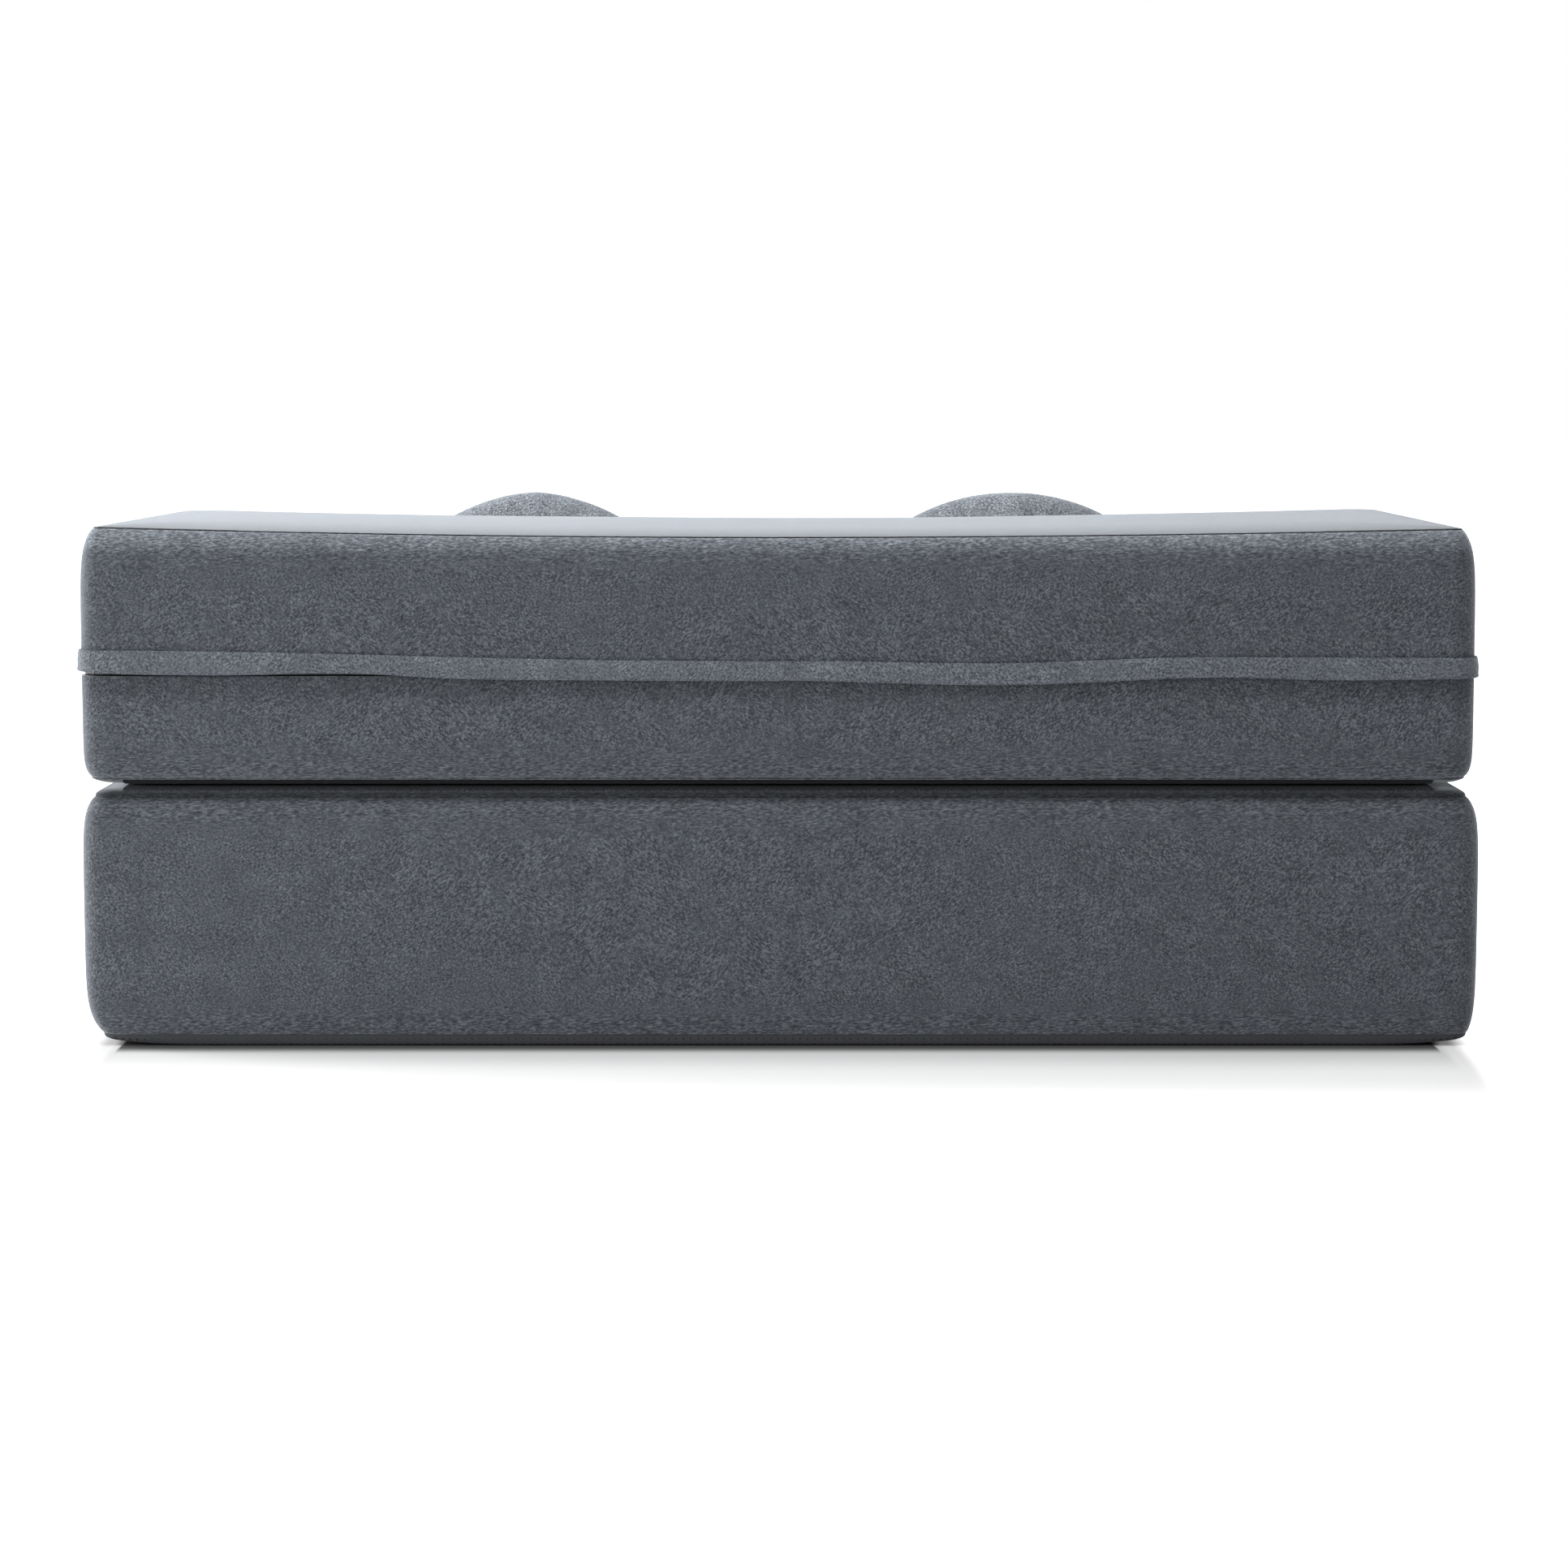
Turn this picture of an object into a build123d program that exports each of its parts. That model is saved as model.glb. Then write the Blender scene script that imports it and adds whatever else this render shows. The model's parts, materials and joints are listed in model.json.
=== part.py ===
from build123d import *
from dataclasses import dataclass
from math import sqrt
import os

os.makedirs("parts", exist_ok=True)

# A folding sofa bed of foam: a wide base, a back section that lies on its rear half and is
# turned over behind it to lengthen the bed, and two loose pillows. Millimetres, +X along the
# width, -Y the front of the sofa, +Z up, the floor at Z = 0, the origin under the middle.

# Blocks. The back section hangs over the base by a little at each end.
base_width = 1518.0
base_depth = 1300.0
base_height = 283.0
back_overhang = 2.0
back_depth = 650.0
rest_gap = 0.4
back_height = 276.6
corner_radius = 38.0

# Crown of each face above its seam, and how far in from the seam it runs
fold_rise = 14.0
fold_run = 100.0
back_top_rise = 5.0
back_top_run = 80.0
floor_rise = 13.0
floor_run = 60.0

# Draw of the walls: how far each seam lies inside the fullest line of the wall, and how far
# the ends and the front are pulled in between their corners along a seam
fold_draw = 10.0
back_top_draw = 15.0
floor_draw = 16.0
side_draw = 5.0

# Layers, from the outside in
cover_thickness = 3.0
liner_thickness = 1.0
layer_gap = 0.5
comfort_foam_height = 50.0

# Zip let into the wall of the back section, round the rear and part of both ends
zip_height = 412.0
zip_end_run = 430.0
tape_width = 14.0
tape_thickness = 0.8
tape_gap = 0.8
coil_depth = 2.2
coil_width = 2.4
coil_round = 0.9
post_width = 0.8
running_gap = 0.3
slider_length = 11.0
slider_plate = 1.3
slider_back_plate = 1.0
slider_flange = 0.9
slider_round = 2.4
post_length = 3.0
lug_height = 1.35
lug_length = 5.0
lug_width = 2.4
lug_slot = 0.7
stop_length = 4.0

# Flap that covers the zip, sewn along its upper edge
flap_height = 26.0
flap_sewn_height = 5.0
flap_slope_height = 6.0
flap_thickness = 2.0
flap_overlap = 12.0

# Hinge strip, which lines the notch between the two blocks at the rear
strip_length = 1380.0
strip_thickness = 1.5
strip_depth = 9.0
strip_fold_radius = 2.0
strip_side_gap = 0.3
strip_end_gap = 0.7

# Pillows
pillow_width = 400.0
pillow_height = 316.0
pillow_thickness = 150.0
pillow_corner = 60.0
pillow_side_bulge = 45.0
pillow_top_bulge = 55.0
pillow_edge_run = 120.0
pillow_lean = 12.0
pillow_left_x = 309.0
pillow_right_x = -294.0
pillow_cover_thickness = 2.0

# Stations of the lofts, as shares of the height or of the run that they follow
wall_shares = (0.0, 0.07, 0.18, 0.34, 0.5, 0.66, 0.82, 0.93, 1.0)
crown_run_shares = (0.0, 0.05, 0.18, 0.45, 1.0)
pillow_depth_shares = (0.0, 0.2, 0.45, 0.7, 0.88, 1.0)

back_width = base_width + 2 * back_overhang

# Depths below the fullest line of the wall at which the layers of the zip lie
tape_front = cover_thickness + tape_gap
tape_back = tape_front + tape_thickness
coil_front = tape_front - coil_depth
plate_back = coil_front - running_gap
plate_front = plate_back - slider_plate
lug_front = plate_front - lug_height
back_plate_front = tape_back + running_gap
back_plate_back = back_plate_front + slider_back_plate
wall_room = back_plate_back + running_gap
centre_gap = post_width + 2 * running_gap
chain_height = centre_gap + 2 * coil_width
slider_height = chain_height + 2 * (running_gap + slider_flange)
slit_height = slider_height + 2 * running_gap
flap_stand_off = running_gap - lug_front
flap_top = slit_height / 2 + flap_slope_height + flap_sewn_height

# The flap stands proud of the rear, so the middle of the whole lies that much behind the walls
flap_reach = flap_stand_off + flap_thickness
rear_y = (base_depth - flap_reach) / 2


@dataclass
class Block:
    """A foam block by its fullest width and depth, its four levels and its draw and crown."""

    width: float
    depth: float
    bottom: float
    bottom_rise: float
    bottom_run: float
    bottom_draw: float
    top: float
    top_rise: float
    top_run: float
    top_draw: float

    @property
    def bottom_seam(self):
        return self.bottom + self.bottom_rise

    @property
    def top_seam(self):
        return self.top - self.top_rise


base = Block(
    base_width, base_depth,
    0.0, floor_rise, floor_run, floor_draw,
    base_height, fold_rise, fold_run, fold_draw,
)
back_bottom = base_height + rest_gap
back = Block(
    back_width, back_depth,
    back_bottom, fold_rise, fold_run, fold_draw,
    back_bottom + back_height, back_top_rise, back_top_run, back_top_draw,
)


def plan(block, level, inset, draw, corner):
    """The outline of a block at a level, with a straight rear and the other sides drawn in."""
    half = block.width / 2 - inset
    rear = rear_y - inset
    front = rear_y - block.depth + inset
    with BuildSketch(Plane.XY.offset(level)) as outline:
        with BuildLine():
            Line((half, rear), (-half, rear))
            if draw == 0:
                Polyline((-half, rear), (-half, front), (half, front), (half, rear))
            else:
                SagittaArc((-half, rear), (-half, front), draw)
                SagittaArc((-half, front), (half, front), draw)
                SagittaArc((half, front), (half, rear), draw)
        make_face()
        fillet(outline.vertices(), corner)
    return outline.sketch


def crown(block, seam, rise, run, seam_draw, side_inset):
    """The outlines that lead from a seam to the flat of a face."""
    return [
        plan(
            block,
            seam + rise * sqrt(1 - (1 - share) ** 2),
            side_inset + seam_draw + run * share,
            side_draw * (1 - share),
            corner_radius - side_inset,
        )
        for share in crown_run_shares
    ]


def top_crown(block, side_inset, face_inset):
    """The outlines of the upper face, drawn in at its sides and lowered."""
    return crown(
        block, block.top_seam, block.top_rise - face_inset,
        block.top_run, block.top_draw, side_inset,
    )


def bottom_crown(block, side_inset, face_inset):
    """The outlines of the lower face, drawn in at its sides and raised."""
    return crown(
        block, block.bottom_seam, face_inset - block.bottom_rise,
        block.bottom_run, block.bottom_draw, side_inset,
    )


def wall(block, side_inset):
    """The outlines of the wall, flat in its middle and drawn in to the two seams."""
    outlines = []
    for share in wall_shares:
        pull = (2 * share - 1) ** 4
        seam_draw = block.bottom_draw if share < 0.5 else block.top_draw
        outlines.append(
            plan(
                block,
                block.bottom_seam + (block.top_seam - block.bottom_seam) * share,
                side_inset + seam_draw * pull,
                side_draw * pull,
                corner_radius - side_inset,
            )
        )
    return outlines


def form(block, side_inset, face_inset):
    """A block drawn in on its walls by side_inset and on its two faces by face_inset."""
    with BuildPart() as solid:
        loft(wall(block, side_inset), ruled=True)
        loft(top_crown(block, side_inset, face_inset), ruled=True)
        loft(bottom_crown(block, side_inset, face_inset), ruled=True)
    return solid.part


face_room = cover_thickness + layer_gap
liner_face_room = face_room + liner_thickness
liner_wall_room = wall_room + liner_thickness
foam_face_room = liner_face_room + layer_gap
foam_wall_room = liner_wall_room + layer_gap
base_foam = form(base, foam_wall_room, foam_face_room)
back_foam = form(back, foam_wall_room, foam_face_room)

# Base: a cover sewn from three panels, a liner, and a soft layer on a firm core
with BuildPart() as base_top_panel:
    loft(top_crown(base, 0, 0), ruled=True)
    loft(
        top_crown(base, cover_thickness, cover_thickness),
        ruled=True, mode=Mode.SUBTRACT,
    )
base_top_panel.part.label = "base_top_panel"
export_step(base_top_panel.part, "parts/base_top_panel.step")

with BuildPart() as base_side_band:
    loft(wall(base, 0), ruled=True)
    loft(wall(base, cover_thickness), ruled=True, mode=Mode.SUBTRACT)
base_side_band.part.label = "base_side_band"
export_step(base_side_band.part, "parts/base_side_band.step")

with BuildPart() as base_bottom_panel:
    loft(bottom_crown(base, 0, 0), ruled=True)
    loft(
        bottom_crown(base, cover_thickness, cover_thickness),
        ruled=True, mode=Mode.SUBTRACT,
    )
base_bottom_panel.part.label = "base_bottom_panel"
export_step(base_bottom_panel.part, "parts/base_bottom_panel.step")

base_liner_hollow = form(base, liner_wall_room, liner_face_room)
base_liner_skin = form(base, wall_room, face_room)
with BuildPart() as base_liner:
    add(base_liner_skin)
    add(base_liner_hollow, mode=Mode.SUBTRACT)
base_liner.part.label = "base_liner"
export_step(base_liner.part, "parts/base_liner.step")

base_foam_joint = base.top - foam_face_room - comfort_foam_height
with BuildPart() as base_comfort_foam:
    add(base_foam)
    split(bisect_by=Plane.XY.offset(base_foam_joint), keep=Keep.TOP)
base_comfort_foam.part.label = "base_comfort_foam"
export_step(base_comfort_foam.part, "parts/base_comfort_foam.step")

with BuildPart() as base_support_foam:
    add(base_foam)
    split(bisect_by=Plane.XY.offset(base_foam_joint), keep=Keep.BOTTOM)
base_support_foam.part.label = "base_support_foam"
export_step(base_support_foam.part, "parts/base_support_foam.step")

# Back section: the same build, upside down, because its lower face is turned up to lie on
zip_start_y = rear_y - zip_end_run
slit_y = (rear_y + zip_start_y) / 2 + corner_radius / 2
with BuildPart() as back_top_panel:
    loft(top_crown(back, 0, 0), ruled=True)
    loft(
        top_crown(back, cover_thickness, cover_thickness),
        ruled=True, mode=Mode.SUBTRACT,
    )
back_top_panel.part.label = "back_top_panel"
export_step(back_top_panel.part, "parts/back_top_panel.step")

with BuildPart() as back_side_band:
    loft(wall(back, 0), ruled=True)
    loft(wall(back, cover_thickness), ruled=True, mode=Mode.SUBTRACT)
    with Locations((0, slit_y, zip_height)):
        Box(
            back_width + corner_radius, zip_end_run + corner_radius, slit_height,
            mode=Mode.SUBTRACT,
        )
back_side_band.part.label = "back_side_band"
export_step(back_side_band.part, "parts/back_side_band.step")

with BuildPart() as back_bottom_panel:
    loft(bottom_crown(back, 0, 0), ruled=True)
    loft(
        bottom_crown(back, cover_thickness, cover_thickness),
        ruled=True, mode=Mode.SUBTRACT,
    )
back_bottom_panel.part.label = "back_bottom_panel"
export_step(back_bottom_panel.part, "parts/back_bottom_panel.step")

back_liner_hollow = form(back, liner_wall_room, liner_face_room)
back_liner_skin = form(back, wall_room, face_room)
with BuildPart() as back_liner:
    add(back_liner_skin)
    add(back_liner_hollow, mode=Mode.SUBTRACT)
back_liner.part.label = "back_liner"
export_step(back_liner.part, "parts/back_liner.step")

back_foam_joint = back.bottom + foam_face_room + comfort_foam_height
with BuildPart() as back_comfort_foam:
    add(back_foam)
    split(bisect_by=Plane.XY.offset(back_foam_joint), keep=Keep.BOTTOM)
back_comfort_foam.part.label = "back_comfort_foam"
export_step(back_comfort_foam.part, "parts/back_comfort_foam.step")

with BuildPart() as back_support_foam:
    add(back_foam)
    split(bisect_by=Plane.XY.offset(back_foam_joint), keep=Keep.TOP)
back_support_foam.part.label = "back_support_foam"
export_step(back_support_foam.part, "parts/back_support_foam.step")


def zip_path(depth, start_y):
    """The run of the zip at a depth below the fullest line of the wall, from end to end."""
    half = back_width / 2 - depth
    rear = rear_y - depth
    with BuildLine() as run:
        FilletPolyline(
            (half, start_y, zip_height), (half, rear, zip_height),
            (-half, rear, zip_height), (-half, start_y, zip_height),
            radius=corner_radius - depth,
        )
    return run.line


def across(path):
    """The plane across the start of a run, with its x axis into the block and its y axis up."""
    return Plane(origin=path @ 0, x_dir=(-1, 0, 0), z_dir=path % 0)


tape_path = zip_path(tape_front + tape_thickness / 2, zip_start_y + layer_gap)
coil_path = zip_path(coil_front + coil_depth / 2, zip_start_y + stop_length)
flap_path = zip_path(0, zip_start_y - flap_overlap)
tape_offset = centre_gap / 2 + tape_width / 2
coil_offset = centre_gap / 2 + coil_width / 2

for name, direction in (("back_zip_upper_tape", 1), ("back_zip_lower_tape", -1)):
    with BuildPart() as zip_tape:
        with BuildSketch(across(tape_path)):
            with Locations((0, direction * tape_offset)):
                Rectangle(tape_thickness, tape_width)
        sweep(path=tape_path)
    zip_tape.part.label = name
    export_step(zip_tape.part, f"parts/{name}.step")

for name, direction in (("back_zip_upper_coil", 1), ("back_zip_lower_coil", -1)):
    with BuildPart() as zip_coil:
        with BuildSketch(across(coil_path)):
            with Locations((0, direction * coil_offset)):
                coil_section = Rectangle(coil_depth, coil_width)
            fillet(coil_section.vertices().group_by(Axis.X)[0], coil_round)
        sweep(path=coil_path)
    zip_coil.part.label = name
    export_step(zip_coil.part, f"parts/{name}.step")

stop_depth = coil_front + coil_depth / 2
stop_x = back_width / 2 - stop_depth
stop_y = zip_start_y + stop_length / 2
with BuildPart() as back_zip_stops:
    for direction in (1, -1):
        with Locations((stop_x, stop_y, zip_height + direction * coil_offset)):
            Box(coil_depth, stop_length, coil_width)
    with Locations((-stop_x, stop_y, zip_height)):
        Box(coil_depth, stop_length, chain_height)
back_zip_stops.part.label = "back_zip_stops"
export_step(back_zip_stops.part, "parts/back_zip_stops.step")

slider_y = zip_start_y + stop_length + running_gap + slider_length / 2


def end_wall(depth):
    """The plane of the end wall at the slider, at a depth below the fullest line of the wall."""
    return Plane(
        origin=(back_width / 2 - depth, slider_y, zip_height),
        x_dir=(0, 1, 0), z_dir=(-1, 0, 0),
    )


# The slider has two plates that its post joins between the rows of coil, flanges that keep
# the rows together, and a lug with a slot for a hook instead of a pull
with BuildPart() as back_zip_slider:
    with BuildSketch(end_wall(plate_front)):
        RectangleRounded(slider_length, slider_height, slider_round)
    extrude(amount=slider_plate)
    with BuildSketch(end_wall(plate_back)):
        with GridLocations(0, slider_height - slider_flange, 1, 2):
            Rectangle(slider_length - 2 * slider_round, slider_flange)
    extrude(amount=tape_front - running_gap - plate_back)
    with BuildSketch(end_wall(plate_back)):
        with Locations((slider_round + post_length / 2 - slider_length / 2, 0)):
            Rectangle(post_length, post_width)
    extrude(amount=back_plate_front - plate_back)
    with BuildSketch(end_wall(back_plate_front)):
        RectangleRounded(slider_length, slider_height, slider_round)
    extrude(amount=slider_back_plate)
    with BuildSketch(end_wall(lug_front)):
        RectangleRounded(lug_length, lug_width, lug_width / 3)
    extrude(amount=lug_height)
    with BuildSketch(end_wall(plate_front - lug_slot)):
        Rectangle(lug_length / 2, lug_width)
    extrude(amount=lug_slot, mode=Mode.SUBTRACT)
back_zip_slider.part.label = "back_zip_slider"
export_step(back_zip_slider.part, "parts/back_zip_slider.step")

flap_hem = flap_top - flap_height
flap_slope_end = flap_top - flap_sewn_height - flap_slope_height
with BuildPart() as back_zip_flap:
    with BuildSketch(across(flap_path)):
        with BuildLine():
            Polyline(
                (-running_gap, flap_top),
                (-running_gap, flap_top - flap_sewn_height),
                (-flap_stand_off, flap_slope_end),
                (-flap_stand_off, flap_hem),
                (-flap_reach, flap_hem),
                (-flap_reach, flap_slope_end),
                (-running_gap - flap_thickness, flap_top - flap_sewn_height),
                (-running_gap - flap_thickness, flap_top),
                close=True,
            )
        make_face()
    sweep(path=flap_path)
back_zip_flap.part.label = "back_zip_flap"
export_step(back_zip_flap.part, "parts/back_zip_flap.step")

# Hinge strip: sewn along the rear seam of each block, its fold lies in the notch between them
seam_y = rear_y - fold_draw
notch_middle = (base.top_seam + back.bottom_seam) / 2
strip_half = (back.bottom_seam - base.top_seam) / 2 - strip_end_gap
strip_near = seam_y + strip_side_gap
strip_far = strip_near + strip_thickness * sqrt(1 + (strip_depth / strip_half) ** 2)
with BuildPart() as hinge_strip:
    with BuildSketch(Plane.YZ) as strip_section:
        with BuildLine():
            Polyline(
                (strip_near, notch_middle - strip_half),
                (strip_near - strip_depth, notch_middle),
                (strip_near, notch_middle + strip_half),
                (strip_far, notch_middle + strip_half),
                (strip_far - strip_depth, notch_middle),
                (strip_far, notch_middle - strip_half),
                close=True,
            )
        make_face()
        fillet(strip_section.vertices().sort_by(Axis.X)[:2], strip_fold_radius)
    extrude(amount=strip_length / 2, both=True)
hinge_strip.part.label = "hinge_strip"
export_step(hinge_strip.part, "parts/hinge_strip.step")

# Pillows lean on the front of the back section, with their lower edge on the seat
pillow_plane = Plane(origin=(0, 0, 0), x_dir=(1, 0, 0), z_dir=(0, -1, 0)).rotated(
    (-pillow_lean, 0, 0)
)


def pillow_outline(level, inset):
    """The outline of a pillow at a level off its seam, inset all round."""
    fullness = 1 - 2 * inset / pillow_height
    side_bulge = pillow_side_bulge * fullness
    top_bulge = pillow_top_bulge * fullness
    half_width = pillow_width / 2 - side_bulge - inset
    half_height = pillow_height / 2 - top_bulge - inset
    with BuildSketch(pillow_plane.offset(level)) as outline:
        with BuildLine():
            SagittaArc((half_width, half_height), (-half_width, half_height), -top_bulge)
            SagittaArc((-half_width, half_height), (-half_width, -half_height), -side_bulge)
            SagittaArc((-half_width, -half_height), (half_width, -half_height), -top_bulge)
            SagittaArc((half_width, -half_height), (half_width, half_height), -side_bulge)
        make_face()
        fillet(outline.vertices(), pillow_corner * fullness)
    return outline.sketch


def pillow_form(inset):
    """A pillow of two crowned faces that meet at its seam, drawn in all over by inset."""
    with BuildPart() as solid:
        for side in (1, -1):
            loft(
                [
                    pillow_outline(
                        side * (pillow_thickness / 2 - inset) * share,
                        inset + pillow_edge_run * (1 - sqrt(1 - share)),
                    )
                    for share in pillow_depth_shares
                ],
                ruled=True,
            )
    return solid.part


pillow_skin = pillow_form(0)
pillow_hollow = pillow_form(pillow_cover_thickness)
pillow_core = pillow_form(pillow_cover_thickness + layer_gap)
pillow_box = pillow_skin.bounding_box()
pillow_y = rear_y - back_depth - rest_gap - pillow_box.max.Y
pillow_z = base.top + rest_gap - pillow_box.min.Z
for side, pillow_x in (("left", pillow_left_x), ("right", pillow_right_x)):
    place = Location((pillow_x, pillow_y, pillow_z))
    with BuildPart() as pillow_cover:
        add(pillow_skin.moved(place))
        add(pillow_hollow.moved(place), mode=Mode.SUBTRACT)
    pillow_cover.part.label = f"pillow_{side}_cover"
    export_step(pillow_cover.part, f"parts/pillow_{side}_cover.step")

    with BuildPart() as pillow_filling:
        add(pillow_core.moved(place))
    pillow_filling.part.label = f"pillow_{side}_filling"
    export_step(pillow_filling.part, f"parts/pillow_{side}_filling.step")
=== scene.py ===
"""Dresses the folding sofa bed: covers, flap, strip, pillows and finishes of the inner pieces."""

import json
import logging
import math
from dataclasses import dataclass
from enum import Enum
from typing import Callable, Optional, Sequence

import bpy
import numpy as np
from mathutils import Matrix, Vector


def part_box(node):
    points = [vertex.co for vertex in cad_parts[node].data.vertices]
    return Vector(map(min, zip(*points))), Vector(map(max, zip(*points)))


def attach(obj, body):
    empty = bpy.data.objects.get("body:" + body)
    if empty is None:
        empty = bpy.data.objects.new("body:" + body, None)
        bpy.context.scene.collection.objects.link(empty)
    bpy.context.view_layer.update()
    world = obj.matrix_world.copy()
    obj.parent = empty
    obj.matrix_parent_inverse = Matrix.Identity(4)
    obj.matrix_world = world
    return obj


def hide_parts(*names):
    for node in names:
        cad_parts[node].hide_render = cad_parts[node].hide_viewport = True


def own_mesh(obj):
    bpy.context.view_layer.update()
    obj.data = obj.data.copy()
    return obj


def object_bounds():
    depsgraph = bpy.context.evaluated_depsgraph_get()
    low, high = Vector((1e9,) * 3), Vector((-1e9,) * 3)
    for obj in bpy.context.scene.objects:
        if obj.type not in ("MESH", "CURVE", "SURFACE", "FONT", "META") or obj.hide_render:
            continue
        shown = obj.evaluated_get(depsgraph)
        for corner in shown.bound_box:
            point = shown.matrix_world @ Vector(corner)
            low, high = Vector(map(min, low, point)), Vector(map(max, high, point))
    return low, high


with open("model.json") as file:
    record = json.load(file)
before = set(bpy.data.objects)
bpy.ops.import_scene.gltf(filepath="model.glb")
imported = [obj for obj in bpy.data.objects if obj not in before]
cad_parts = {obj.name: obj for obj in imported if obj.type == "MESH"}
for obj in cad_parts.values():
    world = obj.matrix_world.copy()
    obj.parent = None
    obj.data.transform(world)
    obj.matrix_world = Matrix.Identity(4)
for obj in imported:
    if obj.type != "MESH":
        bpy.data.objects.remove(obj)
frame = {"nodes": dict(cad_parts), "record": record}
cad_box = [list(corner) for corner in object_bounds()]

log = logging.getLogger("sofa_bed")
MM = 0.001
RIPPLE_LENGTHS = (0.7, 1.6)
FRACTAL_ROUGHNESS = 0.6


def srgb(code: str) -> tuple[float, float, float, float]:
    """Turns an sRGB hex colour into a linear one.

    Args:
        code: Six hex digits, such as "5c6066".

    Returns:
        Linear red, green and blue, and an alpha of 1.
    """
    channels = [int(code[i:i + 2], 16) / 255 for i in (0, 2, 4)]
    linear = [c / 12.92 if c <= 0.04045 else ((c + 0.055) / 1.055) ** 2.4 for c in channels]
    return (*linear, 1.0)


def deselect() -> None:
    """Deselects every object, so that an operator acts only on what is made next."""
    bpy.ops.object.select_all(action="DESELECT")


def activate(piece: bpy.types.Object) -> None:
    """Makes a piece the only selected object and the active one.

    Args:
        piece: Any object.
    """
    deselect()
    piece.select_set(True)
    bpy.context.view_layer.objects.active = piece


def apply_modifiers(piece: bpy.types.Object) -> None:
    """Applies every modifier of a piece in turn.

    Args:
        piece: An object with modifiers.
    """
    activate(piece)
    for modifier in list(piece.modifiers):
        bpy.ops.object.modifier_apply(modifier=modifier.name)


def vertices_of(piece: bpy.types.Object) -> np.ndarray:
    """Reads the places of a piece's vertices.

    Args:
        piece: A mesh object.

    Returns:
        An array of one row of x, y and z for each vertex.
    """
    places = np.empty(len(piece.data.vertices) * 3)
    piece.data.vertices.foreach_get("co", places)
    return places.reshape(-1, 3)


def place_vertices(piece: bpy.types.Object, places: np.ndarray) -> None:
    """Writes the places of a piece's vertices.

    Args:
        piece: A mesh object.
        places: One row of x, y and z for each vertex.
    """
    piece.data.vertices.foreach_set("co", places.ravel())
    piece.data.update()


def cloth_grid(
    name: str, columns: int, rows: int, shape: Callable[[np.ndarray, np.ndarray], np.ndarray]
) -> bpy.types.Object:
    """Adds a flat grid and shapes it into a piece of cloth.

    Args:
        name: The name of the piece.
        columns: Number of cells across.
        rows: Number of cells up.
        shape: Gives the place of each vertex from its shares across and up, each from 0 to 1.

    Returns:
        The new object.
    """
    deselect()
    bpy.ops.mesh.primitive_grid_add(x_subdivisions=columns, y_subdivisions=rows, size=2)
    piece = bpy.context.object
    piece.name = name
    piece.data.name = name
    flat = vertices_of(piece)
    place_vertices(piece, shape((flat[:, 0] + 1) / 2, (flat[:, 1] + 1) / 2))
    return piece


def close_round(piece: bpy.types.Object, distance: float) -> None:
    """Merges the two edges of a band that meet where it goes all the way round.

    Args:
        piece: The band.
        distance: How far apart two vertices may be to be merged.
    """
    activate(piece)
    bpy.ops.object.mode_set(mode="EDIT")
    bpy.ops.mesh.select_all(action="SELECT")
    bpy.ops.mesh.remove_doubles(threshold=distance)
    bpy.ops.object.mode_set(mode="OBJECT")


def face_outwards(piece: bpy.types.Object, centre: Sequence[float]) -> None:
    """Turns the faces of an open piece of cloth away from a point inside it.

    Args:
        piece: The piece of cloth.
        centre: The point that its faces look away from.
    """
    mesh = piece.data
    centres = np.empty(len(mesh.polygons) * 3)
    normals = np.empty(len(mesh.polygons) * 3)
    mesh.polygons.foreach_get("center", centres)
    mesh.polygons.foreach_get("normal", normals)
    away = centres.reshape(-1, 3) - np.array(centre)
    if (away * normals.reshape(-1, 3)).sum() < 0:
        mesh.flip_normals()


def thicken(piece: bpy.types.Object, thickness: float) -> None:
    """Gives a sheet of cloth its thickness, on its inner side.

    Args:
        piece: The sheet, with its faces outwards.
        thickness: Its thickness.
    """
    activate(piece)
    bpy.ops.object.modifier_add(type="SOLIDIFY")
    solidify = piece.modifiers[-1]
    solidify.thickness = thickness
    solidify.offset = -1
    solidify.use_even_offset = False
    apply_modifiers(piece)


def smooth_shade(piece: bpy.types.Object, angle: float = 60.0) -> None:
    """Shades a piece smooth, apart from edges sharper than an angle in degrees.

    Args:
        piece: Any mesh object.
        angle: The sharpest edge that is smoothed, in degrees.
    """
    activate(piece)
    bpy.ops.object.shade_smooth_by_angle(angle=math.radians(angle))


def curve_through(shares: Sequence[float], values: Sequence[float], at: np.ndarray) -> np.ndarray:
    """Eases from one value to the next along a run, by a cubic between each two.

    Args:
        shares: Where the values are, rising.
        values: The values there.
        at: Where the result is wanted.

    Returns:
        The eased value at each place.
    """
    marks, levels = np.array(shares, float), np.array(values, float)
    index = np.clip(np.searchsorted(marks, at, side="right") - 1, 0, len(marks) - 2)
    t = np.clip((at - marks[index]) / (marks[index + 1] - marks[index]), 0, 1)
    slopes = np.gradient(levels, marks)
    step = marks[index + 1] - marks[index]
    a, b = levels[index], levels[index + 1]
    return (
        a * (1 + 2 * t) * (1 - t) ** 2 + b * t ** 2 * (3 - 2 * t)
        + step * (slopes[index] * t * (1 - t) ** 2 + slopes[index + 1] * t ** 2 * (t - 1))
    )


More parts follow.
